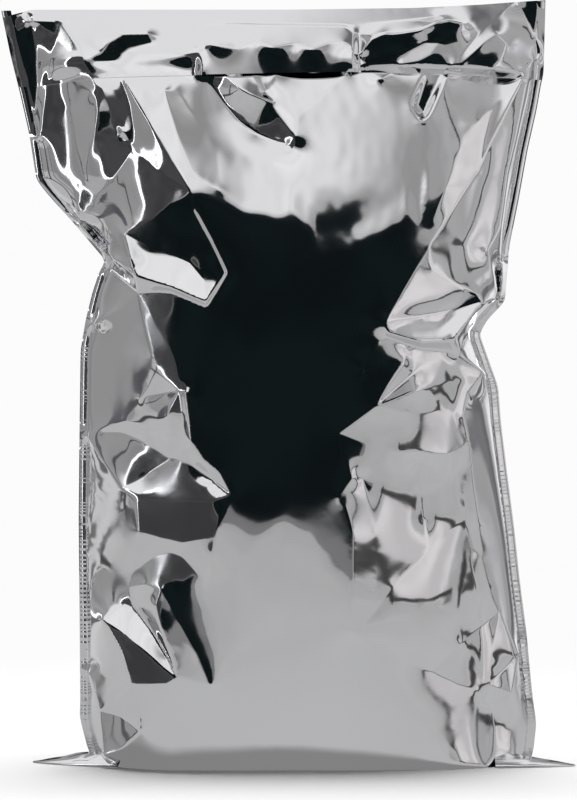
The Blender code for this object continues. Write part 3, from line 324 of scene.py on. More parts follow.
# Every fold of the front, as tips and (across, up, forward) points between them
FRONT_FOLDS = {
    "drop": [(49, 414, 24), (56, 409.6, 27.4), (61.4, 414, 24)],
    "strip": ["strip_top", (-151, 421, 1.4), (-152, 391, 1.4), (-152.4, 367, 1.4), "strip_foot"],
    "pleat valley": ["lip_notch", (-142.8, 421, 7), (-146.4, 397, 6.5), "pleat_side"],
    "pleat ridge": [
        "strip_top", "lip_notch", (-124.8, 427, 14), "pleat_top", "pleat_elbow", (-116.4, 379, 25.5),
        (-121.8, 355, 20), (-127, 334, 13), "left_hip",
    ],
    "pleat cross": ["pleat_side", (-136.8, 389.8, 12.5), (-118.2, 401.8, 22)],
    "pocket floor": [
        "pleat_top", (-112.8, 405.4, 22.5), (-105.6, 385, 26.5), (-99.6, 373, 28), "pocket_corner",
    ],
    "pocket side": ["pocket_mouth", (-95.4, 394, 27.5), (-93.6, 379, 29.5), "pocket_corner"],
    "pocket tuck": [(-104, 372.4, 27), (-99.6, 379.6, 30.5), (-95.4, 371, 29)],
    "pocket sill": ["pocket_corner", (-105.6, 349, 26), (-119, 332.8, 17), "left_hip"],
    "brace": ["brace_top", (-82.8, 382, 35), (-69.6, 359.8, 40.3), "shoulder"],
    "brace valley": ["pocket_corner", (-78, 354, 37), "shoulder"],
    "dent left": [(-75, 404, 29.4), (-67.8, 379, 36), (-57.6, 353.8, 41.2), (-40.2, 343, 42.4)],
    "dent right": [(-75, 404, 29.4), (-64.8, 400, 27.4), (-43.8, 367, 35.4), (-40.2, 343, 42.4)],
    "beak crown": ["shoulder", (-79, 328.5, 42), "beak_back"],
    "beak side": ["beak_back", "beak_heel"],
    "beak crease": ["beak_back", "beak_middle", (-50.6, 289, 47.2), "beak_chin"],
    "beak front": ["shoulder", (-57, 331, 45), (-47.4, 313, 47), "beak_nose", "beak_chin"],
    "beak gap": [(-55.8, 331, 43.8), (-45.9, 313, 45.4), (-36.3, 293.3, 46.4), (-48.7, 273.5, 48)],
    "beak edge": ["beak_heel", (-72, 284.5, 48.6), "beak_chin"],
    "under beak": ["neck", (-71.4, 282.8, 44), (-48.7, 273.5, 48)],
    "hip crease": ["left_hip", (-112.8, 308.2, 21), "beak_heel"],
    "waist crease": [(-120, 261.4, 4), (-110.7, 267.4, 17), (-100.8, 272.2, 27), "neck"],
    "neck fold": ["beak_heel", "neck"],
    "neck side": [(-108, 298, 4), (-101, 290, 20), "neck"],
    "chest rim": ["neck", (-87, 265, 41), (-81.6, 244, 44.3), (-80, 235, 43.5), "chest"],
    "chest lip": [
        "neck", (-82.8, 269.8, 42.5), (-72.6, 251.2, 47), (-67.8, 239.2, 48.6), "chest",
        (-63.8, 209.8, 50), (-63.6, 197.2, 48.4), (-64.6, 187, 45.4), (-56.4, 176.8, 45),
        (-45, 168.6, 48.6), "shelf_tip",
    ],
    "chest gap": [
        (-61.4, 222, 52.4), (-59.6, 205, 52.6), (-58.8, 191, 52.4), (-51.6, 180, 52.4), (-41, 172, 53.2),
        "shelf_tip",
    ],
    "chest cut": ["chest", (-73.8, 221.2, 43.5), "chest_notch"],
    "chest side": [(-80, 235, 43.5), (-84, 226, 40), "chest_notch"],
    "chest line": ["chest", (-72.6, 209, 47.4), (-71.4, 193.6, 45), "elbow"],
    "crescent top": ["flank_seam", (-109.2, 201.6, 19.5), (-97.2, 205, 30), (-85, 200, 37), "elbow"],
    "crescent low": [(-112.2, 197.2, 15.5), (-100.2, 197.5, 25.5), (-87, 192, 34), "elbow"],
    "shelf side": ["flank_seam", (-111, 180, 21), "shelf_back"],
    "shelf crease": ["elbow", (-85.2, 172.4, 34), "shelf_back"],
    "shelf edge": [
        "shelf_back", (-90.9, 159.4, 38.6), (-77, 157.4, 43.8), (-63.6, 156.4, 48.8), (-45, 155.8, 54.4),
        "shelf_tip",
    ],
    "belly edge": ["shelf_tip", (-42.6, 140.8, 55.8), (-46, 124, 54.8), (-49.8, 107.8, 51.8)],
    "belly side": ["shelf_back", (-99.6, 151, 32.8), (-99, 133, 32.6), (-97, 114, 32), "fin_foot"],
    "belly turn": [(-91, 154, 39.4), (-90.4, 138, 40.4), (-90, 122, 39)],
    "belly crest": [(-86, 137, 42), (-77, 134, 45.2), (-63.6, 131, 49.6), (-45, 136, 55.2)],
    "arch": [
        "fin_foot", (-93, 114, 34.6), (-81, 123, 41.4), (-71.1, 126, 45.6), (-63.2, 123, 48.4),
        (-57, 116, 50.2), (-52.2, 111, 51.4), (-49.8, 107.8, 52),
    ],
    "dome": ["fin_foot", (-86, 106.8, 43.5), "sliver_top"],
    "sliver right": ["sliver_top", (-66.6, 85, 50.7), (-56.6, 67, 52.8), "sliver_tip"],
    "sliver left": ["sliver_top", (-80.4, 94, 47.8), (-76.8, 79, 49.8), "fan_tip"],
    "sliver foot": ["fan_tip", "sliver_tip"],
    "fan valley": ["fin_foot", (-94.2, 94.2, 33.5), (-81, 77.2, 41), (-72, 61.6, 46), "fan_tip"],
    "fan head": ["fan_back", (-99, 94.2, 33), (-94.2, 94.2, 33.5)],
    "fan ridge": ["fan_back", (-102, 79, 39.8), (-92, 70.4, 44.4), (-79, 60, 48.4), "fan_tip"],
    "fan edge": [
        "fan_back", (-108, 79.4, 37.4), (-100.2, 65.2, 43.4), "fan_heel", (-73.2, 46, 52), "fan_tip",
    ],
    "instep top": ["instep", (-109.8, 52, 25), "fan_heel"],
    "instep side": ["instep", "ankle", (-103.8, 35.6, 33), "fan_heel"],
    "toe top": ["ankle", (-101, 26.6, 34), "toe"],
    "toe foot": ["ankle", (-112, 16, 27), "heel", (-100, 7, 39.5), "toe"],
    "toe bridge": ["fan_heel", (-90.5, 30, 44.8), "toe"],
    "swag foot": [
        (-54, 414, 25), (-51, 415, 23), (-45, 404.8, 22), (-37.8, 394.6, 23), (-28.8, 383.8, 25),
        (-17.4, 376, 26.6), (-6.6, 372.1, 29), (-1, 371.6, 31.4),
    ],
    "swag ridge": [
        (-39.6, 413.6, 24), (-28.8, 403.6, 32), (-20.6, 399.6, 33.2), (-14.6, 397.6, 31.6), (-8.4, 396, 29),
    ],
    "swag pocket": [(-20, 414, 25), (-13.6, 401, 26.6), (-7.6, 414, 25)],
    "swag flute": [(-13.6, 401, 26.6), (-8.4, 396, 29), (5.4, 385.4, 32.4), (4.6, 373.6, 35.2)],
    "swag edge": [(34.8, 414, 24), (20, 400, 28), (5.4, 385.4, 32.4)],
    "swag hem": [(-8.4, 396, 29), (-4.5, 386, 31.6), (4.6, 373.6, 35.2)],
    "hanging pleat": [(85, 415, 22), (92, 413, 22.4), (81, 388.6, 25), (76.8, 394.6, 25), (85, 415, 22)],
    "hanging rim": [
        (81, 415, 22.6), (73.4, 394, 30.2), (80, 383.6, 32.6), (84.6, 388, 31.4), (96, 412, 24),
    ],
    "long ridge": [
        "long_top", (133, 395.8, 19), (121.8, 372.7, 26.4), (115.2, 355, 31), (103.2, 337.6, 37),
        "right_elbow",
    ],
    "long valley": [
        "long_top", (121.8, 392.4, 23.5), (106.6, 377.2, 29.8), (100, 359.5, 34.6), (94.6, 344.2, 38.8),
        (84, 318, 44),
    ],
    "cheek": [(144, 409, 8), (137.4, 374.8, 11), (132, 353, 14.5), (128.6, 322.2, 16), "right_hip"],
    "elbow top": ["right_elbow", (99, 311, 38), "right_elbow_back"],
    "elbow back": ["right_elbow_back", (128.6, 322.2, 16)],
    "elbow side": ["right_elbow_back", (124, 290, 18), "right_hip"],
    "knuckle ridge": [
        "right_elbow", (85.8, 296.8, 46.5), (100.2, 287.2, 41.5), (114.3, 280.6, 36), "knuckle_back",
    ],
    "knuckle edge": ["right_elbow", (70, 285, 50.2), "knuckle_front"],
    "knuckle crease": ["knuckle_front", (78, 266.8, 46), (97.2, 270.6, 39), "knuckle_back"],
    "knuckle foot": [
        "knuckle_front", (59.5, 257, 55), (79.2, 251.8, 52.8), "knuckle_under", "knuckle_back",
    ],
    "under knuckle": ["petal_root", (79.4, 248.6, 45.5), "sash_top"],
    "hip crease right": ["knuckle_back", "right_hip"],
    "hip fold right": ["knuckle_under", (112, 262, 20)],
    "petal": ["petal_root", "petal_tip", "petal_back", (70.8, 248.5, 47)],
    "petal edge": ["petal_back", (60, 226, 53), "fist_front"],
    "sash": ["sash_top", (80.3, 237.5, 45), (62, 221.5, 51), "fist_front"],
    "fist ridge": ["fist_front", (78, 223.2, 49.2), (100, 229, 37), "fist_back"],
    "fist valley": ["fist_front", (71.4, 209.2, 49), (95.6, 210.1, 38.5), "wrist"],
    "fist side": ["fist_back", (107.8, 221.2, 31.5), "wrist", "palm_back"],
    "fist seam": ["sash_top", (110, 240, 27), "fist_back"],
    "palm crease": ["palm_front", (47.3, 190.3, 52), (67.1, 185.4, 47.5), (94.6, 184.3, 39), "palm_back"],
    "palm edge": ["fist_front", "palm_front", (34.1, 181.6, 54.2), (39, 169.6, 53.6), "cheek_tip"],
    "panel edge": ["cheek_tip", (34.1, 152.6, 54), (38.4, 138.7, 54), (38.2, 108, 54), "panel_corner"],
    "panel side": [
        (44, 171, 50.2), (50, 150, 49.6), (52.5, 138, 49.4), (52.5, 108, 49.2), (53.9, 91.2, 48.6),
    ],
    "panel middle": [(78, 182, 41), (81, 160, 37.4), (82, 144, 36.4), (83.6, 125.5, 38)],
    "rail": [
        "palm_back", (111, 166, 28.4), (114.3, 144, 25.6), (116.4, 121, 23.6), (121, 103, 20), "rail_low",
    ],
    "rail shadow": ["palm_back", (107.6, 176, 29.6), "rail_middle", (113, 125, 25)],
    "panel ridge": [
        "rail_middle", (83.6, 125.5, 38), (62.7, 105.5, 46.2), (53.9, 91.2, 48.6), "panel_corner",
    ],
    "hem": [
        "panel_corner", (58.2, 68.2, 47), (67.1, 61.6, 44.6), "hem_middle", (102.2, 45.2, 33.5),
        (114.3, 41.8, 29.5), "hem_end",
    ],
    "hem ridge": ["hem_middle", (104, 70, 32.4), "rail_low"],
    "rail foot": ["rail_low", (122, 62, 23), "cuff_in", "hem_end"],
    "cuff": ["rail_low", "cuff_top", "cuff_in", "cuff_out", "hem_end", "toe_right", "heel_right"],
    "cuff side": ["cuff_top", "cuff_out", "toe_right"],
}

# How far the lower edge of the lip stands off the film under it: (across, lift)
FLAP_LIFT = [
    (-172, 0.6), (-120, 0.8), (-100, 1), (-62, 0.9), (-52, 3), (-20, 3.6), (10, 3.6), (36, 3.2), (41, 1.2),
    (60, 1.2), (90, 1), (100, 0.8), (154, 0.6),
]

BULGE = (-50, 38)  # where the lip isn't stuck down, from left to right

# Folds of the lip
LIP_FOLDS = {
    "top crease": [
        (-158, 444, 4), (-120, 445.5, 6), (-58.8, 443.8, 7.5), (-34.8, 443.8, 8), (37.2, 442.6, 8),
        (90, 447, 5),
    ],
    "blot": [
        (-115.8, 420, 15), (-108, 432, 14.6), (-99, 437.5, 14.8), (-84, 437.8, 15), (-82, 431, 15.4),
        (-96, 427, 15.6), (-104, 420, 16), (-115.8, 420, 15),
    ],
    "bulge top": [
        (-55.8, 437.2, 15), (-48, 440.5, 14), (-34.8, 442, 13), (0, 441.6, 13.4), (34.2, 440.8, 14),
        (38.4, 437.2, 16.5),
    ],
    "bulge shoulder": [
        (-54.4, 430, 20.5), (-46, 430.5, 24.6), (-30, 428.4, 24), (-19, 432.5, 23.4), (-10, 428.4, 26.6),
        (4, 431.5, 22.8), (14, 427, 26.2), (24, 431.4, 23), (34, 432.6, 22.4), (38.6, 427, 24),
    ],
    "bulge left": [(-55.8, 437.2, 15), (-54.4, 430, 21.5), (-53.6, 420, 25), (-52, 411.8, 26.4)],
    "bulge right": [(38.4, 437.2, 16.5), (38.6, 427, 25.5), (38.4, 414, 27.6)],
    "beside bulge": [(42.4, 436, 12.5), (42.8, 425, 19.5), (42.6, 414, 24.5)],
    "roll": [
        (42.8, 425, 25), (50, 434.5, 25), (57, 437.4, 24.6), (64, 437, 24.6), (80, 439.2, 24),
        (88, 444, 21.6), (96, 445.4, 20.6), (106, 442.6, 19.2),
    ],
    "fleck": [
        (66, 418, 25.2), (73, 427, 22.6), (82, 432, 21), (90, 431.2, 21), (86, 424.5, 22.8),
        (78, 420, 24.2), (66, 418, 25.2),
    ],
    "dart left": [(134, 455, 1.6), (115, 437, 15), (100, 420.5, 22), (94.4, 409.5, 24.4)],
    "pouch": [
        (100, 411.4, 22.4), (106, 421, 21.2), (115.6, 430.6, 19.4), (125, 437.6, 16.8),
        (131.6, 431, 15.6), (127, 420, 17.6), (116, 411.2, 20.4), (100, 411.4, 22.4),
    ],
    "corner": [(138, 455, 1.6), (152.6, 424, 1.6), (140, 416, 8.6)],
    "strip": [(-156, 450, 1.4), (-151.4, 426, 1.6), (-151.4, 405.6, 1.8)],
    "pleat valley": [(-137.4, 443.4, 5), (-142.8, 421, 6.5), (-145, 406, 6.8)],
    "pleat ridge": [(-156, 450, 1.4), (-137.4, 443.4, 5), (-124.8, 427, 13), (-117.4, 410, 20)],
}

# Where the front turns down towards the base, and where it leans back towards the lip: (across, up)
BELLY_TURN = [
    (-140, 128), (-52, 124), (-46, 118), (-38, 121), (-30, 117), (-21, 131), (-12, 142), (-2, 150.5),
    (5, 144), (14, 139), (22, 121), (31, 106), (36, 102), (60, 100), (150, 110),
]
BROW = [
    (-140, 345), (-59, 342), (-44, 333), (-29, 328), (-10, 325), (-3, 323.8), (1, 330), (7, 323), (13, 318),
    (17, 303), (24, 302), (38, 304), (53, 313), (66, 322), (69, 331), (73, 322), (78, 320), (80, 341),
    (93, 342), (150, 345),
]

# Folds of the back, as true (across, up, backward) points
BACK_FOLDS = {
    "left shoulder ridge": [(-142, 440, 4), (-108, 392, 26), (-84, 342, 38.6), (-56, 298, 46)],
    "left shoulder valley": [(-148, 404, 4), (-119, 362, 12.5), (-96, 322, 23), (-66, 290, 36.5)],
    "left pleat": [(-108, 392, 26), (-112, 372, 15), (-84, 342, 38.6)],
    "left waist": [(-106, 300, 4), (-90, 302, 25), (-56, 298, 46), (-22, 309, 43.8)],
    "left hollow": [(-110, 276, 6), (-88, 282, 22), (-60, 272, 38), (-34, 254, 43)],
    "left flank": [
        (-56, 298, 46), (-74, 246, 43.4), (-86, 196, 40), (-76, 142, 43.6), (-88, 84, 39), (-62, 34, 47),
    ],
    "left flank side": [(-110, 276, 6), (-106, 222, 18), (-109, 160, 15), (-113, 96, 12)],
    "left flank cross": [(-86, 196, 40), (-106, 222, 18), (-74, 246, 43.4)],
    "left thigh": [(-109, 160, 15), (-88, 166, 32), (-48, 150, 49), (-20, 158, 47)],
    "left calf": [(-76, 142, 43.6), (-52, 110, 43), (-28, 92, 46.5)],
    "left foot": [(-88, 84, 39), (-109, 50, 19), (-98, 18, 25), (-62, 34, 47)],
    "right shoulder ridge": [(140, 446, 3), (112, 398, 23), (86, 344, 37), (64, 300, 45)],
    "right shoulder valley": [(146, 420, 4), (122, 368, 14), (98, 322, 26), (72, 292, 37)],
    "right pleat": [(112, 398, 23), (118, 376, 14.5), (98, 356, 25)],
    "right waist": [(112, 262, 5), (96, 276, 25), (72, 292, 37), (64, 300, 45), (30, 304, 44.4)],
    "right hollow": [(112, 246, 7), (94, 256, 30), (66, 262, 43.5)],
    "right flank": [
        (66, 262, 43.5), (82, 236, 42), (90, 184, 38.5), (78, 128, 45), (94, 76, 38.6), (70, 30, 47),
    ],
    "right flank side": [(116, 226, 8), (110, 190, 19), (117, 130, 16), (127, 76, 14)],
    "right flank cross": [(90, 184, 38.5), (110, 190, 19), (82, 236, 42)],
    "right thigh": [(117, 130, 16), (78, 128, 45), (40, 112, 49), (10, 118, 47)],
    "right foot": [(94, 76, 38.6), (122, 44, 19), (114, 14, 27), (70, 30, 47)],
    "middle sweep": [(-24, 366, 30.5), (-8, 318, 39.4), (4, 262, 43.4)],
    "middle crease": [(18, 214, 47.4), (-6, 182, 44.6), (-20, 158, 47)],
    "under the fold": [(-100, 426, 15), (-40, 404, 25), (30, 414, 19.5), (96, 428, 13)],
}


def scaled(table, key_scale, value_scale):
    keys, values = np.array(table, float).T
    return keys * MM * key_scale, values * MM * value_scale


def greatest(table, column):
    return max(row[column] for row in table) * MM


WIDER = FLAT_WIDTH / (greatest(RIGHT_EDGE, 1) - LEFT_EDGE[-1][1] * MM)
TALLER = STANDING_HEIGHT / greatest(TOP_EDGE, 1)
FULLER_FRONT = FRONT_BULGE / greatest(FRONT_CROWN, 1)
FULLER_BACK = BACK_BULGE / greatest(BACK_CROWN, 1)


def eased(keys, values, softness):
    """The curve through (keys, values), with its bends eased over that distance."""
    step = 0.5 * MM
    margin = 4 * softness
    at = np.arange(keys[0] - margin, keys[-1] + margin + step, step)
    straight = np.interp(at, keys, values)
    below, above = at < keys[0], at > keys[-1]
    straight[below] += (at[below] - keys[0]) * (values[1] - values[0]) / (keys[1] - keys[0])
    straight[above] += (at[above] - keys[-1]) * (values[-1] - values[-2]) / (keys[-1] - keys[-2])
    reach = int(3 * softness / step)
    kernel = np.exp(-0.5 * (np.arange(-reach, reach + 1) * step / softness) ** 2)
    kernel /= kernel.sum()
    smooth = np.convolve(np.pad(straight, reach, mode="reflect", reflect_type="odd"), kernel, "valid")
    return lambda x: np.interp(x, at, smooth)


left_edge = eased(*scaled(LEFT_EDGE, TALLER, WIDER), EDGE_SOFTNESS * MM)
right_edge = eased(*scaled(RIGHT_EDGE, TALLER, WIDER), EDGE_SOFTNESS * MM)
top_edge = eased(*scaled(TOP_EDGE, WIDER, TALLER), EDGE_SOFTNESS * MM)
flap_edge = eased(*scaled(FLAP_EDGE, WIDER, TALLER), EDGE_SOFTNESS * MM)
flap_lift = eased(*scaled(FLAP_LIFT, WIDER, FULLER_FRONT), EDGE_SOFTNESS * MM)
belly_turn = eased(*scaled(BELLY_TURN, WIDER, TALLER), BELLY_TURN_SOFTNESS * MM)
brow = eased(*scaled(BROW, WIDER, TALLER), BROW_LINE_SOFTNESS * MM)
front_crown = eased(*scaled(FRONT_CROWN, TALLER, FULLER_FRONT), CROWN_SOFTNESS * MM)
back_crown = eased(*scaled(BACK_CROWN, TALLER, FULLER_BACK), CROWN_SOFTNESS * MM)
rounding_reach = eased(*scaled(ROUNDING_REACH, TALLER, WIDER), CROWN_SOFTNESS * MM)


def pillow(across, up, crown):
    """Distance of the smooth filled panel from the plane of the seams."""
    sagged = up + (STANDING_HEIGHT - top_edge(across)) * (up / STANDING_HEIGHT) ** 6
    depth = np.maximum(crown(sagged), 0)
    for inset in (across - left_edge(up), right_edge(up) - across):
        share = np.clip((inset - SEAM_WIDTH) / rounding_reach(up), 0, 1)
        depth = depth * np.sqrt(1 - (1 - share) ** 2)
    turn = np.clip(1 - up / BASE_ROUNDING, 0, 1)
    tucked = BASE_ROUNDING * (1 - np.sqrt(1 - turn**2))
    return SEAM_THICKNESS / 2 + np.maximum(depth - tucked, 0)


def across_of(film, up):
    """Where a point of the film, from -1 at the left seam to 1 at the right one, stands across the bag."""
    left, right = left_edge(up), right_edge(up)
    return (left + right) / 2 + (right - left) / 2 * np.sin(film * SIDE_CROWDING) / math.sin(SIDE_CROWDING)


def film_of(across, up):
    left, right = left_edge(up), right_edge(up)
    share = np.clip((2 * across - left - right) / (right - left), -1, 1)
    return np.arcsin(share * math.sin(SIDE_CROWDING)) / SIDE_CROWDING


def seen(across, up, forward):
    """The true place of a point that the view shows at (across, up) and that stands forward of the seams."""
    nearness = 1 - forward / EYE_DISTANCE
    return across * nearness, EYE_HEIGHT + (up - EYE_HEIGHT) * nearness, forward


def fold_lines(folds, tips, fuller, place):
    """Each fold as an array of true (across, up, depth) points, in metres."""
    lines = []
    for points in folds.values():
        line = [place(*(tips[p] if isinstance(p, str) else p)) for p in points]
        lines.append(np.array(line) * MM * [WIDER, TALLER, fuller])
    return lines


def stepped(line, step):
    """The same line with a point every step or less."""
    parts = [line[:1]]
    for start, end in zip(line, line[1:]):
        count = max(1, math.ceil(np.linalg.norm(end[:2] - start[:2]) / step))
        parts.append(start + (end - start) * np.linspace(0, 1, count + 1)[1:, None])
    return np.concatenate(parts)


def roof(step):
    """The top of a panel as (film, up) points from left to right."""
    run = np.linspace(-1, 1, math.ceil(FLAT_WIDTH / step) + 1)
    return np.stack([run, top_edge(across_of(run, STANDING_HEIGHT))], 1)


def outline(step):
    """The edge of a panel as (film, up) points: along the base, up the right seam, back and down."""
    top = roof(step)
    rise = np.linspace(0, 1, math.ceil(STANDING_HEIGHT / step) + 1)
    right = np.stack([np.ones(len(rise)), rise * top[-1, 1]], 1)
    left = np.stack([-np.ones(len(rise)), rise * top[0, 1]], 1)
    return np.concatenate([top[:-1] * [1, 0], right[:-1], top[:0:-1], left[:0:-1]])


def lattice(step):
    """Points in staggered rows that fill a panel, as (film, up)."""
    rows = []
    pitch = step * math.sqrt(3) / 2
    for row in range(1, int(STANDING_HEIGHT / pitch)):
        shift = step / 2 * (row % 2)
        film = np.arange(-FLAT_WIDTH / 2 + shift, FLAT_WIDTH / 2, step) / (FLAT_WIDTH / 2)
        rows.append(np.stack([film, np.full(len(film), row * pitch)], 1))
    return np.concatenate(rows)


def clear_of(points, taken, distance):
    """The points that keep that distance from every taken one."""
    cell = distance
    grid = {}
    for x, y in taken.tolist():
        grid.setdefault((int(x // cell), int(y // cell)), []).append((x, y))
    kept = []
    for x, y in points.tolist():
        column, row = int(x // cell), int(y // cell)
        near = [q for i in (-1, 0, 1) for j in (-1, 0, 1) for q in grid.get((column + i, row + j), ())]
        if all((x - q[0]) ** 2 + (y - q[1]) ** 2 >= distance**2 for q in near):
            kept.append((x, y))
            grid.setdefault((column, row), []).append((x, y))
    return np.array(kept)


def hung(lift, pinned, places, faces, base):
    """The lift of film that hangs from its pinned points, and dies away with distance from them.

    Each point is pulled by its neighbours and, weakly, back to the base. FLATNESS is how far the film
    between two folds gives up the roundness of the base.
    """
    count = len(lift)
    starts, ends, stiffness = [], [], []
    area = np.zeros(count)
    for turn in range(3):
        i, j, k = (faces[:, (turn + n) % 3] for n in range(3))
        u, v = places[i] - places[k], places[j] - places[k]
        cross = np.maximum(np.abs(u[:, 0] * v[:, 1] - u[:, 1] * v[:, 0]), 1e-12)
        starts.append(i)
        ends.append(j)
        stiffness.append(np.clip((u * v).sum(axis=1) / cross, 0.02, 20) / 2)
        area += np.bincount(i, cross / 6, count)
    starts, ends, stiffness = map(np.concatenate, (starts, ends, stiffness))

    def pull(values):
        stretch = stiffness * (values[starts] - values[ends])
        return np.bincount(starts, stretch, count) - np.bincount(ends, stretch, count)

    free = ~pinned
    back = area / FOLD_REACH**2
    rest = -(FLATNESS * pull(base) + pull(lift) + back * lift) * free
    move = np.zeros(count)
    way, size = rest.copy(), rest @ rest
    goal = size * 1e-10
    for _ in range(HANGING_ROUNDS):
        if size <= goal:
            break
        push = (pull(way) + back * way) * free
        share = size / (way @ push)
        move += share * way
        rest -= share * push
        before, size = size, rest @ rest
        way = rest + size / before * way
    return lift + move


def beside(line, gap):
    """Rows of points at that gap on both sides of a line of (across, up) points."""
    run = np.gradient(line, axis=0)
    side = np.stack([-run[:, 1], run[:, 0]], 1) / np.maximum(np.linalg.norm(run, axis=1), 1e-9)[:, None]
    return [line + gap * side, line - gap * side]


def panel(lines, crown, step, lip=False):
    """One side of the bag, or its lip alone, in the plane of the seams.

    Gives its (across, up, depth) points, its triangles, and the indices of the points on its outline.
    """
    half = FLAT_WIDTH / 2
    edge = outline(EDGE_STEP)
    fixed = [edge * [half, 1]]
    pins = [np.zeros(len(edge))]
    links = [(i, (i + 1) % len(edge)) for i in range(len(edge))]

    def add(points, lifts):
        start = sum(map(len, fixed))
        fixed.append(points)
        pins.append(lifts)
        links.extend((start + i, start + i + 1) for i in range(len(points) - 1))

    seam_run = np.linspace(BASE_ROUNDING, STANDING_HEIGHT - SEAM_WIDTH * 3, int(STANDING_HEIGHT / step))
    for side in (-1, 1):
        at = (left_edge if side < 0 else right_edge)(seam_run) - side * SEAM_WIDTH
        add(np.stack([film_of(at, seam_run) * half, seam_run], 1), np.zeros(len(seam_run)))
    rows = []
    for line in lines:
        line = stepped(line, FOLD_STEP)
        up = line[:, 1]
        line[:, 0] = np.clip(line[:, 0], left_edge(up) + SEAM_WIDTH / 2, right_edge(up) - SEAM_WIDTH / 2)
        lift = line[:, 2] - pillow(line[:, 0], up, crown)
        add(np.stack([film_of(line[:, 0], up) * half, up], 1), lift)
        for gap in FOLD_ROWS:
            for row in beside(line[:, :2], gap):
                rows.append(np.stack([film_of(row[:, 0], row[:, 1]) * half, row[:, 1]], 1))
    if lip:
        run = np.linspace(-1, 1, math.ceil(FLAT_WIDTH / step) + 1)[1:-1]
        across = across_of(run, FLAP_LEVEL * MM * TALLER)
        add(np.stack([run * half, flap_edge(across)], 1), flap_lift(across))
    fixed, pins = np.concatenate(fixed), np.concatenate(pins)
    ceiling = roof(EDGE_STEP) * [half, 1]
    near = clear_of(np.concatenate(rows), fixed, 0.8 * FOLD_ROWS[0])
    near = near[(np.abs(near[:, 0]) < half - FOLD_ROWS[0]) & (near[:, 1] > FOLD_ROWS[0])]
    inner = clear_of(lattice(step) * [half, 1], np.concatenate([fixed, near]), 0.62 * step)
    points = np.concatenate([fixed, near, inner])
    below = points[:, 1] < np.interp(points[:, 0], *ceiling.T) - 0.4 * step
    below[: len(fixed)] = True
    points = points[below]
    places, _, faces, origins, _, _ = delaunay_2d_cdt([Vector(p) for p in points], links, [], 0, 1e-6, True)
    film = np.array([p[:] for p in places])
    faces = np.array(faces)
    centres = film[faces].mean(axis=1)
    faces = faces[centres[:, 1] < np.interp(centres[:, 0], *ceiling.T)]
    lift = np.zeros(len(film))
    pinned = np.zeros(len(film), bool)
    index = np.full(len(points), -1)
    for new, olds in enumerate(origins):
        for old in olds:
            index[old] = new
            if old < len(pins):
                lift[new], pinned[new] = pins[old], True
    up = film[:, 1]
    across = across_of(film[:, 0] / half, up)
    base = pillow(across, up, crown)
    lift = hung(lift, pinned, np.stack([across, up], 1), faces, base)
    depth = np.maximum(base + lift, SEAM_THICKNESS / 2)
    return np.stack([across, up, depth], 1), faces, index[: len(edge)]


class Value:
    """A number at one socket of a node tree: sums written with it add the nodes that work them out."""

    def __init__(self, shade, socket):
        self.shade = shade
        self.socket = socket

    def sum(self, operation, *terms):
        return self.shade.add("ShaderNodeMath", {"operation": operation}, dict(enumerate(terms)))

    def __add__(self, other):
        return self.sum("ADD", self, other)

    def __radd__(self, other):
        return self.sum("ADD", other, self)

    def __sub__(self, other):
        return self.sum("SUBTRACT", self, other)

    def __rsub__(self, other):
        return self.sum("SUBTRACT", other, self)

    def __mul__(self, other):
        return self.sum("MULTIPLY", self, other)

    def __rmul__(self, other):
        return self.sum("MULTIPLY", other, self)

    def __truediv__(self, other):
        return self.sum("DIVIDE", self, other)

    def __rtruediv__(self, other):
        return self.sum("DIVIDE", other, self)

    def size(self):
        """The value without its sign."""
        return self.sum("ABSOLUTE", self)

    def root(self):
        return self.sum("SQRT", self)

    def within(self, low, high):
        """0 below low, 1 above high, and a soft rise between."""
        inputs = {"Value": self, "From Min": low, "From Max": high}
        return self.shade.add("ShaderNodeMapRange", {"interpolation_type": "SMOOTHSTEP"}, inputs)

    def inside(self, outer, inner):
        """0 outside a soft border, which runs from its outer to its inner end, and 1 inside it."""
        return self.within(outer, inner) if outer < inner else (0 - self).within(-outer, -inner)


class Shade:
    """A node tree that is being written."""

    def __init__(self, owner):
        owner.use_nodes = True
        self.tree = owner.node_tree

    def add(self, kind, settings, inputs, output=0):
        """Adds a node of that type, sets it up, joins its inputs, and gives one of its outputs."""
        node = self.tree.nodes.new(kind)
        for name, setting in settings.items():
            setattr(node, name, setting)
        self.join(node, inputs)
        return Value(self, node.outputs[output])

    def join(self, node, inputs):
        for name, value in inputs.items():
            if isinstance(value, Value):
                self.tree.links.new(value.socket, node.inputs[name])
            else:
                node.inputs[name].default_value = value

    def blend(self, share, first, second):
        """One colour at share 0, the other at share 1."""
        return self.add("ShaderNodeMix", {"data_type": "RGBA"}, {"Factor": share, 6: first, 7: second}, 2)

    def place(self):
        """Where a point lies on the object, in metres, as a vector."""
        return self.add("ShaderNodeTexCoord", {}, {}, "Object")

    def parts(self, vector):
        split = self.add("ShaderNodeSeparateXYZ", {}, {"Vector": vector}).socket.node
        return [Value(self, socket) for socket in split.outputs]

    def clouds(self, scale, detail, distortion=0, at=None):
        """Soft spots from 0 to 1, about 1 / scale of a metre across."""
        inputs = {"Vector": at or self.place(), "Scale": scale, "Detail": detail, "Distortion": distortion}
        return self.add("ShaderNodeTexNoise", {}, inputs)

    def rays(self):
        """Two values that are 1 for a ray from the camera, and for one that the film mirrors."""
        path = self.add("ShaderNodeLightPath", {}, {}).socket.node
        return [Value(self, path.outputs[name]) for name in ("Is Camera Ray", "Is Glossy Ray")]


def waved(points, seed, waves):
    """Height of the small waves of handled film, each (height, wide, tall), at (across, up) points."""
    total = np.zeros(len(points))
    for number, (height, wide, tall) in enumerate(waves):
        shift = seed * 7.3 + number * 3.1
        wave = [noise.noise((x / wide, shift, z / tall)) for x, z in points]
        total += height * np.array(wave)
    return total


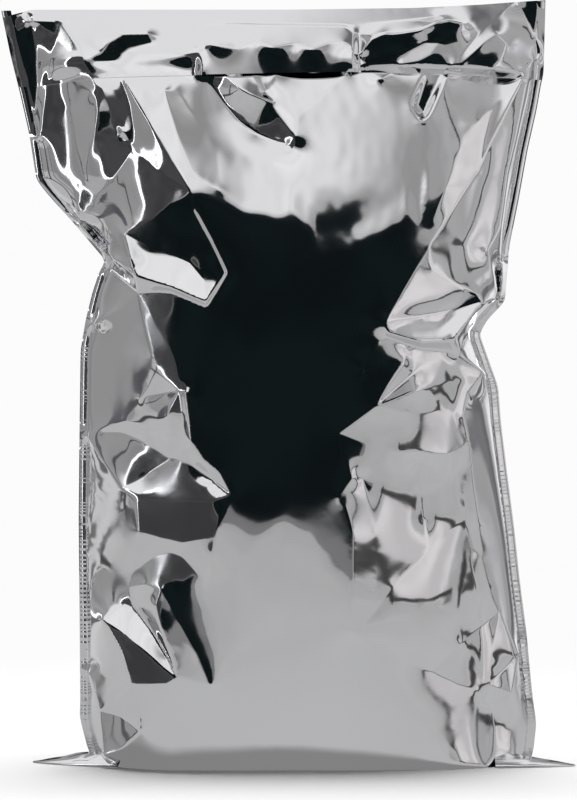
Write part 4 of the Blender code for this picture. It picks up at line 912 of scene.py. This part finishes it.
def soft_step(x, low, high):
    share = np.clip((x - low) / (high - low), 0, 1)
    return share * share * (3 - 2 * share)


def film_object(name, vertices, faces, material):
    mesh = bpy.data.meshes.new(name)
    mesh.from_pydata([tuple(v) for v in vertices], [], [tuple(f) for f in faces])
    mesh.validate()
    mesh.shade_smooth()
    piece = bpy.data.objects.new(name, mesh)
    bpy.context.scene.collection.objects.link(piece)
    mesh.materials.append(material)
    return piece


def rounded(points, faces, held, rounds):
    """The same points with the folds rounded: each moves halfway to its neighbours, again and again."""
    pairs = np.concatenate([faces[:, [0, 1]], faces[:, [1, 2]], faces[:, [2, 0]]])
    pairs = np.unique(np.sort(pairs, axis=1), axis=0)
    starts, ends = np.concatenate([pairs, pairs[:, ::-1]]).T
    count = len(points)
    share = 0.5 / np.maximum(np.bincount(starts, minlength=count), 1)
    share[held] = 0
    for _ in range(rounds):
        pulled = [np.bincount(starts, column[ends] - column[starts], count) for column in points.T]
        points = points + share[:, None] * np.stack(pulled, 1)
    return points


def inset_of(across, up):
    """Distance from the outer edge of the nearer side band."""
    return np.minimum(across - left_edge(up), right_edge(up) - across)


def calm_edges(across, up):
    """0 at the seams, the base and the top, where film is held, and 1 away from them."""
    calm = soft_step(inset_of(across, up), SEAM_WIDTH, 5 * SEAM_WIDTH) * soft_step(up, 0.002, 0.02)
    return calm * soft_step(STANDING_HEIGHT - up, 0.002, 0.02)


def softly(x, softness):
    """0 below zero, x above it, with the bend between eased."""
    return (x + np.sqrt(x * x + softness * softness)) / 2


def turned(across, up):
    """The slight bends of the middle of the front, where it turns down to the base and back to the lip."""
    strength, wide, tall = RAGGED
    ragged = np.array([noise.noise((x / wide, z / tall, 3.3)) for x, z in zip(across, up)]) * strength
    down = softly(belly_turn(across) + ragged - up, BEND_SOFTNESS)
    above = up - brow(across)
    back = softly(above + ragged, BEND_SOFTNESS) - softly(above - BROW_SPAN, BROW_SOFTNESS)
    rounding = MIDDLE_ROUNDING * (across - MIDDLE_X) ** 2
    return -math.tan(BELLY_TILT) * down - math.tan(BROW_TILT) * back - rounding


def seam_curl(across, up):
    """How far the welded side bands curl back, away from the front."""
    outer = np.clip(1 - inset_of(across, up) / (SEAM_WIDTH * CURL_REACH), 0, 1)
    lower = soft_step(STANDING_HEIGHT * CURL_LEVEL - up, 0, CURL_FADE)
    return SEAM_CURL * outer * (CURL_LEAST + (1 - CURL_LEAST) * lower)


def placed(across, up, depth, side):
    """Points in the frame of the bag: side is -1 for the front and 1 for the back."""
    return np.stack([across, SEAM_Y + side * depth + seam_curl(across, up), up], 1)


def front_panel(material):
    """The crumpled front: its folds, the small waves of its film, and the bends of its middle."""
    lines = fold_lines(FRONT_FOLDS, TIPS, FULLER_FRONT, seen)
    points, faces, edge = panel(lines, front_crown, FRONT_STEP)
    points = rounded(points, faces, edge, FOLD_ROUNDS)
    across, up, depth = points.T
    lively = 1 + LIVELIER * soft_step(np.abs(across - SMOOTH_X), *LIVELY)
    depth = depth + lively * calm_edges(across, up) * waved(points[:, :2], 1, FRONT_WAVES)
    depth = depth + soft_step(inset_of(across, up), SEAM_WIDTH, 6 * SEAM_WIDTH) * turned(across, up)
    vertices = placed(across, up, depth, -1)
    return film_object("front_panel", vertices, faces, material), vertices[edge]


def back_panel(material):
    """The back, which has fewer and softer folds than the front."""
    lines = fold_lines(BACK_FOLDS, {}, FULLER_BACK, lambda *point: point)
    points, faces, edge = panel(lines, back_crown, BACK_STEP)
    points = rounded(points, faces, edge, FOLD_ROUNDS)
    across, up, depth = points.T
    depth = depth + calm_edges(across, up) * waved(points[:, :2], 2, BACK_WAVES)
    vertices = placed(across, up, depth, 1)
    return film_object("back_panel", vertices, faces[:, ::-1], material), vertices[edge]


def depth_of(piece, across, up):
    """How far in front of the seams' plane a piece stands at each place."""
    mesh = piece.data
    tree = BVHTree.FromPolygons([v.co for v in mesh.vertices], [f.vertices for f in mesh.polygons])
    hits = [tree.ray_cast(Vector((x, -1, z)), Vector((0, 1, 0)))[0] for x, z in zip(across, up)]
    found = np.array([SEAM_Y - hit.y if hit else 0 for hit in hits])
    return found + seam_curl(across, up)


def stuck(across, above):
    """How firmly the lip is held down, from 0 to 1, that far above its lower edge. It isn't in its bulge."""
    start, end = (x * MM * WIDER for x in BULGE)
    apart = soft_step(across, start - BULGE_SIDE, start) * (1 - soft_step(across, end, end + BULGE_SIDE))
    tall = STUCK_HEIGHT[0] + (STUCK_HEIGHT[1] - STUCK_HEIGHT[0]) * soft_step(across, start, end)
    return (1 - soft_step(above / tall, 0, 1)) * (1 - apart)


def lip(front, material):
    """The flap that folds over the top and is stuck down on the front, with its cut edge."""
    lines = fold_lines(LIP_FOLDS, TIPS, FULLER_FRONT, seen)
    points, faces, _ = panel(lines, front_crown, LIP_STEP, lip=True)
    across, up, depth = points.T
    level = flap_edge(across_of(film_of(across, up), FLAP_LEVEL * MM * TALLER))
    faces = faces[(up[faces] > level[faces] - ON_EDGE).all(axis=1)]
    used, faces = np.unique(faces, return_inverse=True)
    faces = faces.reshape(-1, 3)
    across, up, depth, level = across[used], up[used], depth[used], level[used]
    on_edge = np.abs(up - level) < ON_EDGE
    held = on_edge | (STANDING_HEIGHT - up < 4 * LIP_STEP) | (inset_of(across, up) < SEAM_WIDTH)
    across, up, depth = rounded(np.stack([across, up, depth], 1), faces, held, LIP_ROUNDS).T
    depth = depth + calm_edges(across, up) * waved(np.stack([across, up], 1), 3, FRONT_WAVES)
    under = depth_of(front, across, up) + LIP_GAP * soft_step(STANDING_HEIGHT - up, 0, LIP_GAP_FADE)
    depth = np.maximum(depth, under)
    depth = depth + stuck(across, up - level) * (under - depth)
    rim = np.flatnonzero(on_edge)
    rim = rim[np.argsort(across[rim])]
    lower_rim = placed(across[rim], up[rim], depth[rim] - FLAP_THICKNESS, -1)
    vertices = np.concatenate([placed(across, up, depth, -1), lower_rim])
    lower = np.arange(len(across), len(vertices))
    walls = [(rim[i], rim[i + 1], lower[i + 1], lower[i]) for i in range(len(rim) - 1)]
    piece = film_object("lip", vertices, faces.tolist() + walls, material)
    marked = {tuple(sorted((int(a), int(b)))) for a, b in zip(rim, rim[1:])}
    for seam in piece.data.edges:
        seam.use_edge_sharp = tuple(sorted(seam.vertices)) in marked
    return piece


def crimps(side, up):
    """The small crimps of a side band, which are uneven in depth and spacing and end in its upper part."""
    shift = 11.7 if side > 0 else 0
    uneven, beat_length = CRIMP_BEAT
    middle, spread, strength_length = CRIMP_STRENGTH
    beat = np.array([noise.noise((shift, z / beat_length, 0)) for z in up])
    strength = np.array([middle + spread * noise.noise((shift, 5, z / strength_length)) for z in up])
    strength = np.clip(strength, 0.05, 1) * soft_step(CRIMP_TOP - up, 0, CRIMP_FADE)
    return CRIMP_DEPTH * strength * np.sin(2 * math.pi * (up / CRIMP_PITCH + uneven * beat))


def seam_band(name, side, material):
    """A welded side band with its crimps: a thin ribbon around the edges of both panels."""
    rows = int(STANDING_HEIGHT / CRIMP_STEP)
    up = np.linspace(0.0005, top_edge(np.array([side * 0.15]))[0] - 0.0004, rows)
    edge = (left_edge if side < 0 else right_edge)(up)
    crimp = crimps(side, up)
    columns = []
    for face in (-1, 1):
        for inset, share in SEAM_PROFILE if face < 0 else SEAM_PROFILE[::-1]:
            across = edge - side * inset * SEAM_WIDTH
            flat = SEAM_THICKNESS / 2 * (1 if inset > 0 else 0.5)
            columns.append(placed(across, up, flat + SEAM_SWELLING * share + crimp * share, face))
    count = len(columns)
    faces = []
    for row in range(rows - 1):
        for column in range(count - 1):
            a = row * count + column
            corners = (a, a + 1, a + count + 1, a + count)
            faces.append(corners if side < 0 else corners[::-1])
    return film_object(name, np.stack(columns, 1).reshape(-1, 3), faces, material)


def ear_rise(side, out, share):
    """Height of a folded corner over its rim, where out is 0 at its root and share 1 at its front."""
    crest = EARS[side][3]
    rise = crest * (1 - out) ** 1.1 * (1 - abs(share - 0.25) ** 1.2 * 0.75) * (1 - abs(share) ** 6)
    crease = abs(noise.noise((out * 3.1 + side, share * 2.2, side * 4.0)))
    return max(rise + EAR_CREASES * crease * (1 - out) * (1 - abs(share) ** 4), 0)


def ear(name, side, material):
    """A flattened corner of the base, which lies out on the ground beside the bag."""
    length, root, tip_forward, _ = EARS[side]
    across_steps, round_steps = EAR_STEPS
    underside, rim = EAR_HEIGHTS
    shares = [2 * j / round_steps - 1 for j in range(round_steps + 1)]
    rings = []
    for i in range(across_steps + 1):
        out = i / across_steps
        half = EAR_ROOT / 2 * (1 - out) ** 0.75 + EAR_TIP
        middle = EAR_FORWARD + (tip_forward - EAR_FORWARD) * out
        x = side * (root + length * out)
        upper = [(x, SEAM_Y - middle - half * t, rim + ear_rise(side, out, t)) for t in shares]
        lower = [(x, SEAM_Y - middle - half * t * EAR_UNDERSIDE, underside) for t in shares[::-1]]
        rings.append(upper + lower)
    count = len(rings[0])
    vertices = [point for ring in rings for point in ring]
    faces = []
    for i in range(across_steps):
        for j in range(count):
            a, b = i * count + j, i * count + (j + 1) % count
            corners = (a, b, b + count, a + count)
            faces.append(corners if side < 0 else corners[::-1])
    last = across_steps * count
    cap = tuple(range(last, last + count))
    faces.append(cap if side < 0 else cap[::-1])
    return film_object(name, vertices, faces, material)


def base_panel(front_edge, back_edge, material):
    """The flattened underside, between the lower edges of the two panels."""
    low = [edge[np.isclose(edge[:, 2], 0, atol=1e-6)] for edge in (front_edge, back_edge)]
    front, back = (edge[np.argsort(edge[:, 0])] for edge in low)
    loop = np.concatenate([front, back[::-1]])
    return film_object("base_panel", loop, [tuple(range(len(loop)))[::-1]], material)


def silver_film():
    """Mirror-bright film, smooth in the middle and finely wrinkled and scuffed towards its sides."""
    material = bpy.data.materials.new("silver_film")
    shade = Shade(material)
    x, _, _ = shade.parts(shade.place())
    handled = (x - SMOOTH_X).size().within(*HANDLED)
    scuffed = shade.clouds(*SCUFFS).within(*SCUFFED_PART) * (0.3 + 0.7 * handled)
    grain = shade.clouds(*GRAIN)
    wrinkles = shade.clouds(*WRINKLES)
    height = grain * 0.02 * (0.15 + scuffed) + wrinkles * (0.1 + 0.3 * handled)
    bump = shade.add("ShaderNodeBump", {}, {"Height": height, "Strength": 1, "Distance": BUMP_HEIGHT})
    shade.join(shade.tree.nodes["Principled BSDF"], {
        "Base Color": (*FILM_TONE, 1),
        "Metallic": 1,
        "Roughness": FILM_ROUGHNESS + SCUFF_ROUGHNESS * scuffed,
        "Normal": bump,
    })
    return material


def stage_object(name, mesh, material):
    thing = bpy.data.objects.new(name, mesh)
    bpy.context.scene.collection.objects.link(thing)
    mesh.materials.append(material)
    return thing


def flat_mesh(name, width, height):
    mesh = bpy.data.meshes.new(name)
    bm = bmesh.new()
    bmesh.ops.create_grid(bm, x_segments=1, y_segments=1, size=0.5)
    bmesh.ops.scale(bm, vec=(width, height, 1), verts=bm.verts)
    bm.to_mesh(mesh)
    bm.free()
    return mesh


def card(name, place, size, tone, softness, aim):
    """A studio card that shows only in the film: size is (width, height), and it faces the aim point."""
    material = bpy.data.materials.new(name)
    shade = Shade(material)
    across, up, _ = shade.parts(shade.place())
    inner = (size[0] / 2 - across.size()).within(0, softness)
    inner = inner * (size[1] / 2 - up.size()).within(0, softness)
    dim, bright = ([part * share for part in tone] + [1] for share in CARD_CLOUDS)
    shade.join(shade.tree.nodes["Principled BSDF"], {
        "Base Color": (0, 0, 0, 1),
        "Specular IOR Level": 0,
        "Emission Color": shade.blend(shade.clouds(3.2, 1).within(0.35, 0.65), dim, bright),
        "Emission Strength": 1,
        "Alpha": inner,
    })
    board = stage_object(name, flat_mesh(name, *size), material)
    board.location = place
    board.rotation_euler = (Vector(aim) - Vector(place)).to_track_quat("Z", "Y").to_euler()
    board.visible_camera = False
    board.visible_diffuse = False
    board.visible_shadow = False


def floor():
    """Pale ground, which fades into the white backdrop away from the bag. The film shows it darker, as a
    painted glow with a painted shadow under the bag.
    """
    material = bpy.data.materials.new("floor")
    shade = Shade(material)
    tree = shade.tree
    tree.nodes.remove(tree.nodes["Principled BSDF"])
    x, y, _ = shade.parts(shade.place())
    patches = shade.clouds(*PATCHES).within(0.40, 0.56)
    behind_bag = 1 - y.within(*BEHIND_BAG) * (0.72 - 0.95 * patches)
    # painted shadow: the glow the film sees is darker close under the bag
    painted_shadow_under_bag = 0.5 + 0.5 * (x * x * 0.12 + y * y).within(*SHADE_UNDER_BAG)
    drift = 0.9 + 0.2 * shade.clouds(*DRIFT)
    # painted shade: the glow darkens farther in front of the bag
    painted_shade_in_front = 1.08 - 0.2 * (0 - y).within(0.1, 1.2)
    # painted reflection: the film sees the floor as this glowing tone, not as the lit floor
    painted_floor_glow = FLOOR_IN_FILM * painted_shadow_under_bag * behind_bag * drift * painted_shade_in_front
    camera_ray, glossy_ray = shade.rays()
    away = (x * x + y * y).within(*FLOOR_FADE)
    lit = shade.add("ShaderNodeBsdfDiffuse", {}, {"Color": (*FLOOR_TONE, 1)})
    painted_glow_in_film = shade.add("ShaderNodeEmission", {}, {"Color": painted_floor_glow, "Strength": 1})
    backdrop = shade.add("ShaderNodeEmission", {}, {"Color": (*BACKDROP, 1), "Strength": 1})
    near = shade.add("ShaderNodeMixShader", {}, {0: glossy_ray, 1: lit, 2: painted_glow_in_film})
    both = shade.add("ShaderNodeMixShader", {}, {0: camera_ray * away, 1: near, 2: backdrop})
    shade.join(tree.nodes["Material Output"], {"Surface": both})
    stage_object("floor", flat_mesh("floor", 8, 8), material)


def region(sideways, upwards, borders):
    """1 in a part of the studio, inside its level and between its left and right borders."""
    between = sideways.inside(*borders["left"]) * sideways.inside(*borders["right"])
    return upwards.inside(*borders["level"]) * between


def world():
    """A white backdrop for the camera. The film sees a grey studio with a bright window up on its left."""
    studio = bpy.data.worlds.new("studio")
    bpy.context.scene.world = studio
    shade = Shade(studio)
    direction = shade.add("ShaderNodeTexCoord", {}, {}, "Generated")
    x, y, z = shade.parts(direction)
    sideways = x / (x * x + y * y + 0.0001).root()
    window = region(sideways, z, WINDOW) * y.inside(0.1, -0.2)
    streaks = shade.add("ShaderNodeCombineXYZ", {}, {"X": sideways * 4, "Y": z * 0.5})
    clutter = shade.clouds(*STREAKS, at=streaks) - 0.5
    bright_right = x.inside(*BRIGHT_RIGHT["left"])
    tone = STUDIO_GREY + BRIGHT_RIGHT["tone"] * bright_right + WINDOW["tone"] * window + CLUTTER * clutter
    behind = y.inside(0.02, 0.12)
    dark_wall = region(sideways, z, DARK_WALL)
    bright_wall = region(sideways, z, BRIGHT_WALL)
    back_tone = tone * (1 - DARK_WALL["share"] * dark_wall) + BRIGHT_WALL["tone"] * bright_wall
    tone = tone * (1 - behind) + back_tone * behind
    ceiling = z.inside(*CEILING["level"])
    tone = tone * (1 - ceiling) + CEILING["tone"] * ceiling
    camera_ray, glossy_ray = shade.rays()
    plain = camera_ray * BACKDROP[0] + (1 - camera_ray) * AMBIENT
    shown = glossy_ray * tone + (1 - glossy_ray) * plain
    shade.join(shade.tree.nodes["Background"], {"Color": shown, "Strength": 1})


def sun(name, direction, softness, strength):
    light = bpy.data.lights.new(name, "SUN")
    light.angle = softness
    light.energy = strength
    lit = bpy.data.objects.new(name, light)
    lit.rotation_euler = Vector(direction).to_track_quat("-Z", "Y").to_euler()
    lit.visible_glossy = False
    bpy.context.scene.collection.objects.link(lit)


def camera():
    view = bpy.data.cameras.new("camera")
    view.sensor_width = 36
    view.lens = view.sensor_width * EYE_DISTANCE / VIEW_HEIGHT
    eye = bpy.data.objects.new("camera", view)
    eye.location = (0, SEAM_Y - EYE_DISTANCE * MM, EYE_HEIGHT * MM)
    eye.rotation_euler = (math.radians(90), 0, 0)
    bpy.context.scene.collection.objects.link(eye)
    bpy.context.scene.camera = eye


def main():
    for old in list(bpy.data.objects):
        bpy.data.objects.remove(old)
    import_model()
    bpy.context.scene.view_settings.view_transform = "Standard"
    film = silver_film()
    front, front_edge = front_panel(film)
    back, back_edge = back_panel(film)
    pieces = [front, back, lip(front, film), base_panel(front_edge, back_edge, film)]
    pieces += [seam_band("left_seam", -1, film), seam_band("right_seam", 1, film)]
    pieces += [ear("left_ear", -1, film), ear("right_ear", 1, film)]
    for piece in pieces:
        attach(piece, "root")
        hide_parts("mailer_bag")
    floor()
    world()
    camera()
    for name, settings in CARDS.items():
        card(name, *settings)
    sun("overhead", (0, -0.12, -1), SUN_SOFTNESS, SUN_STRENGTH)


main()
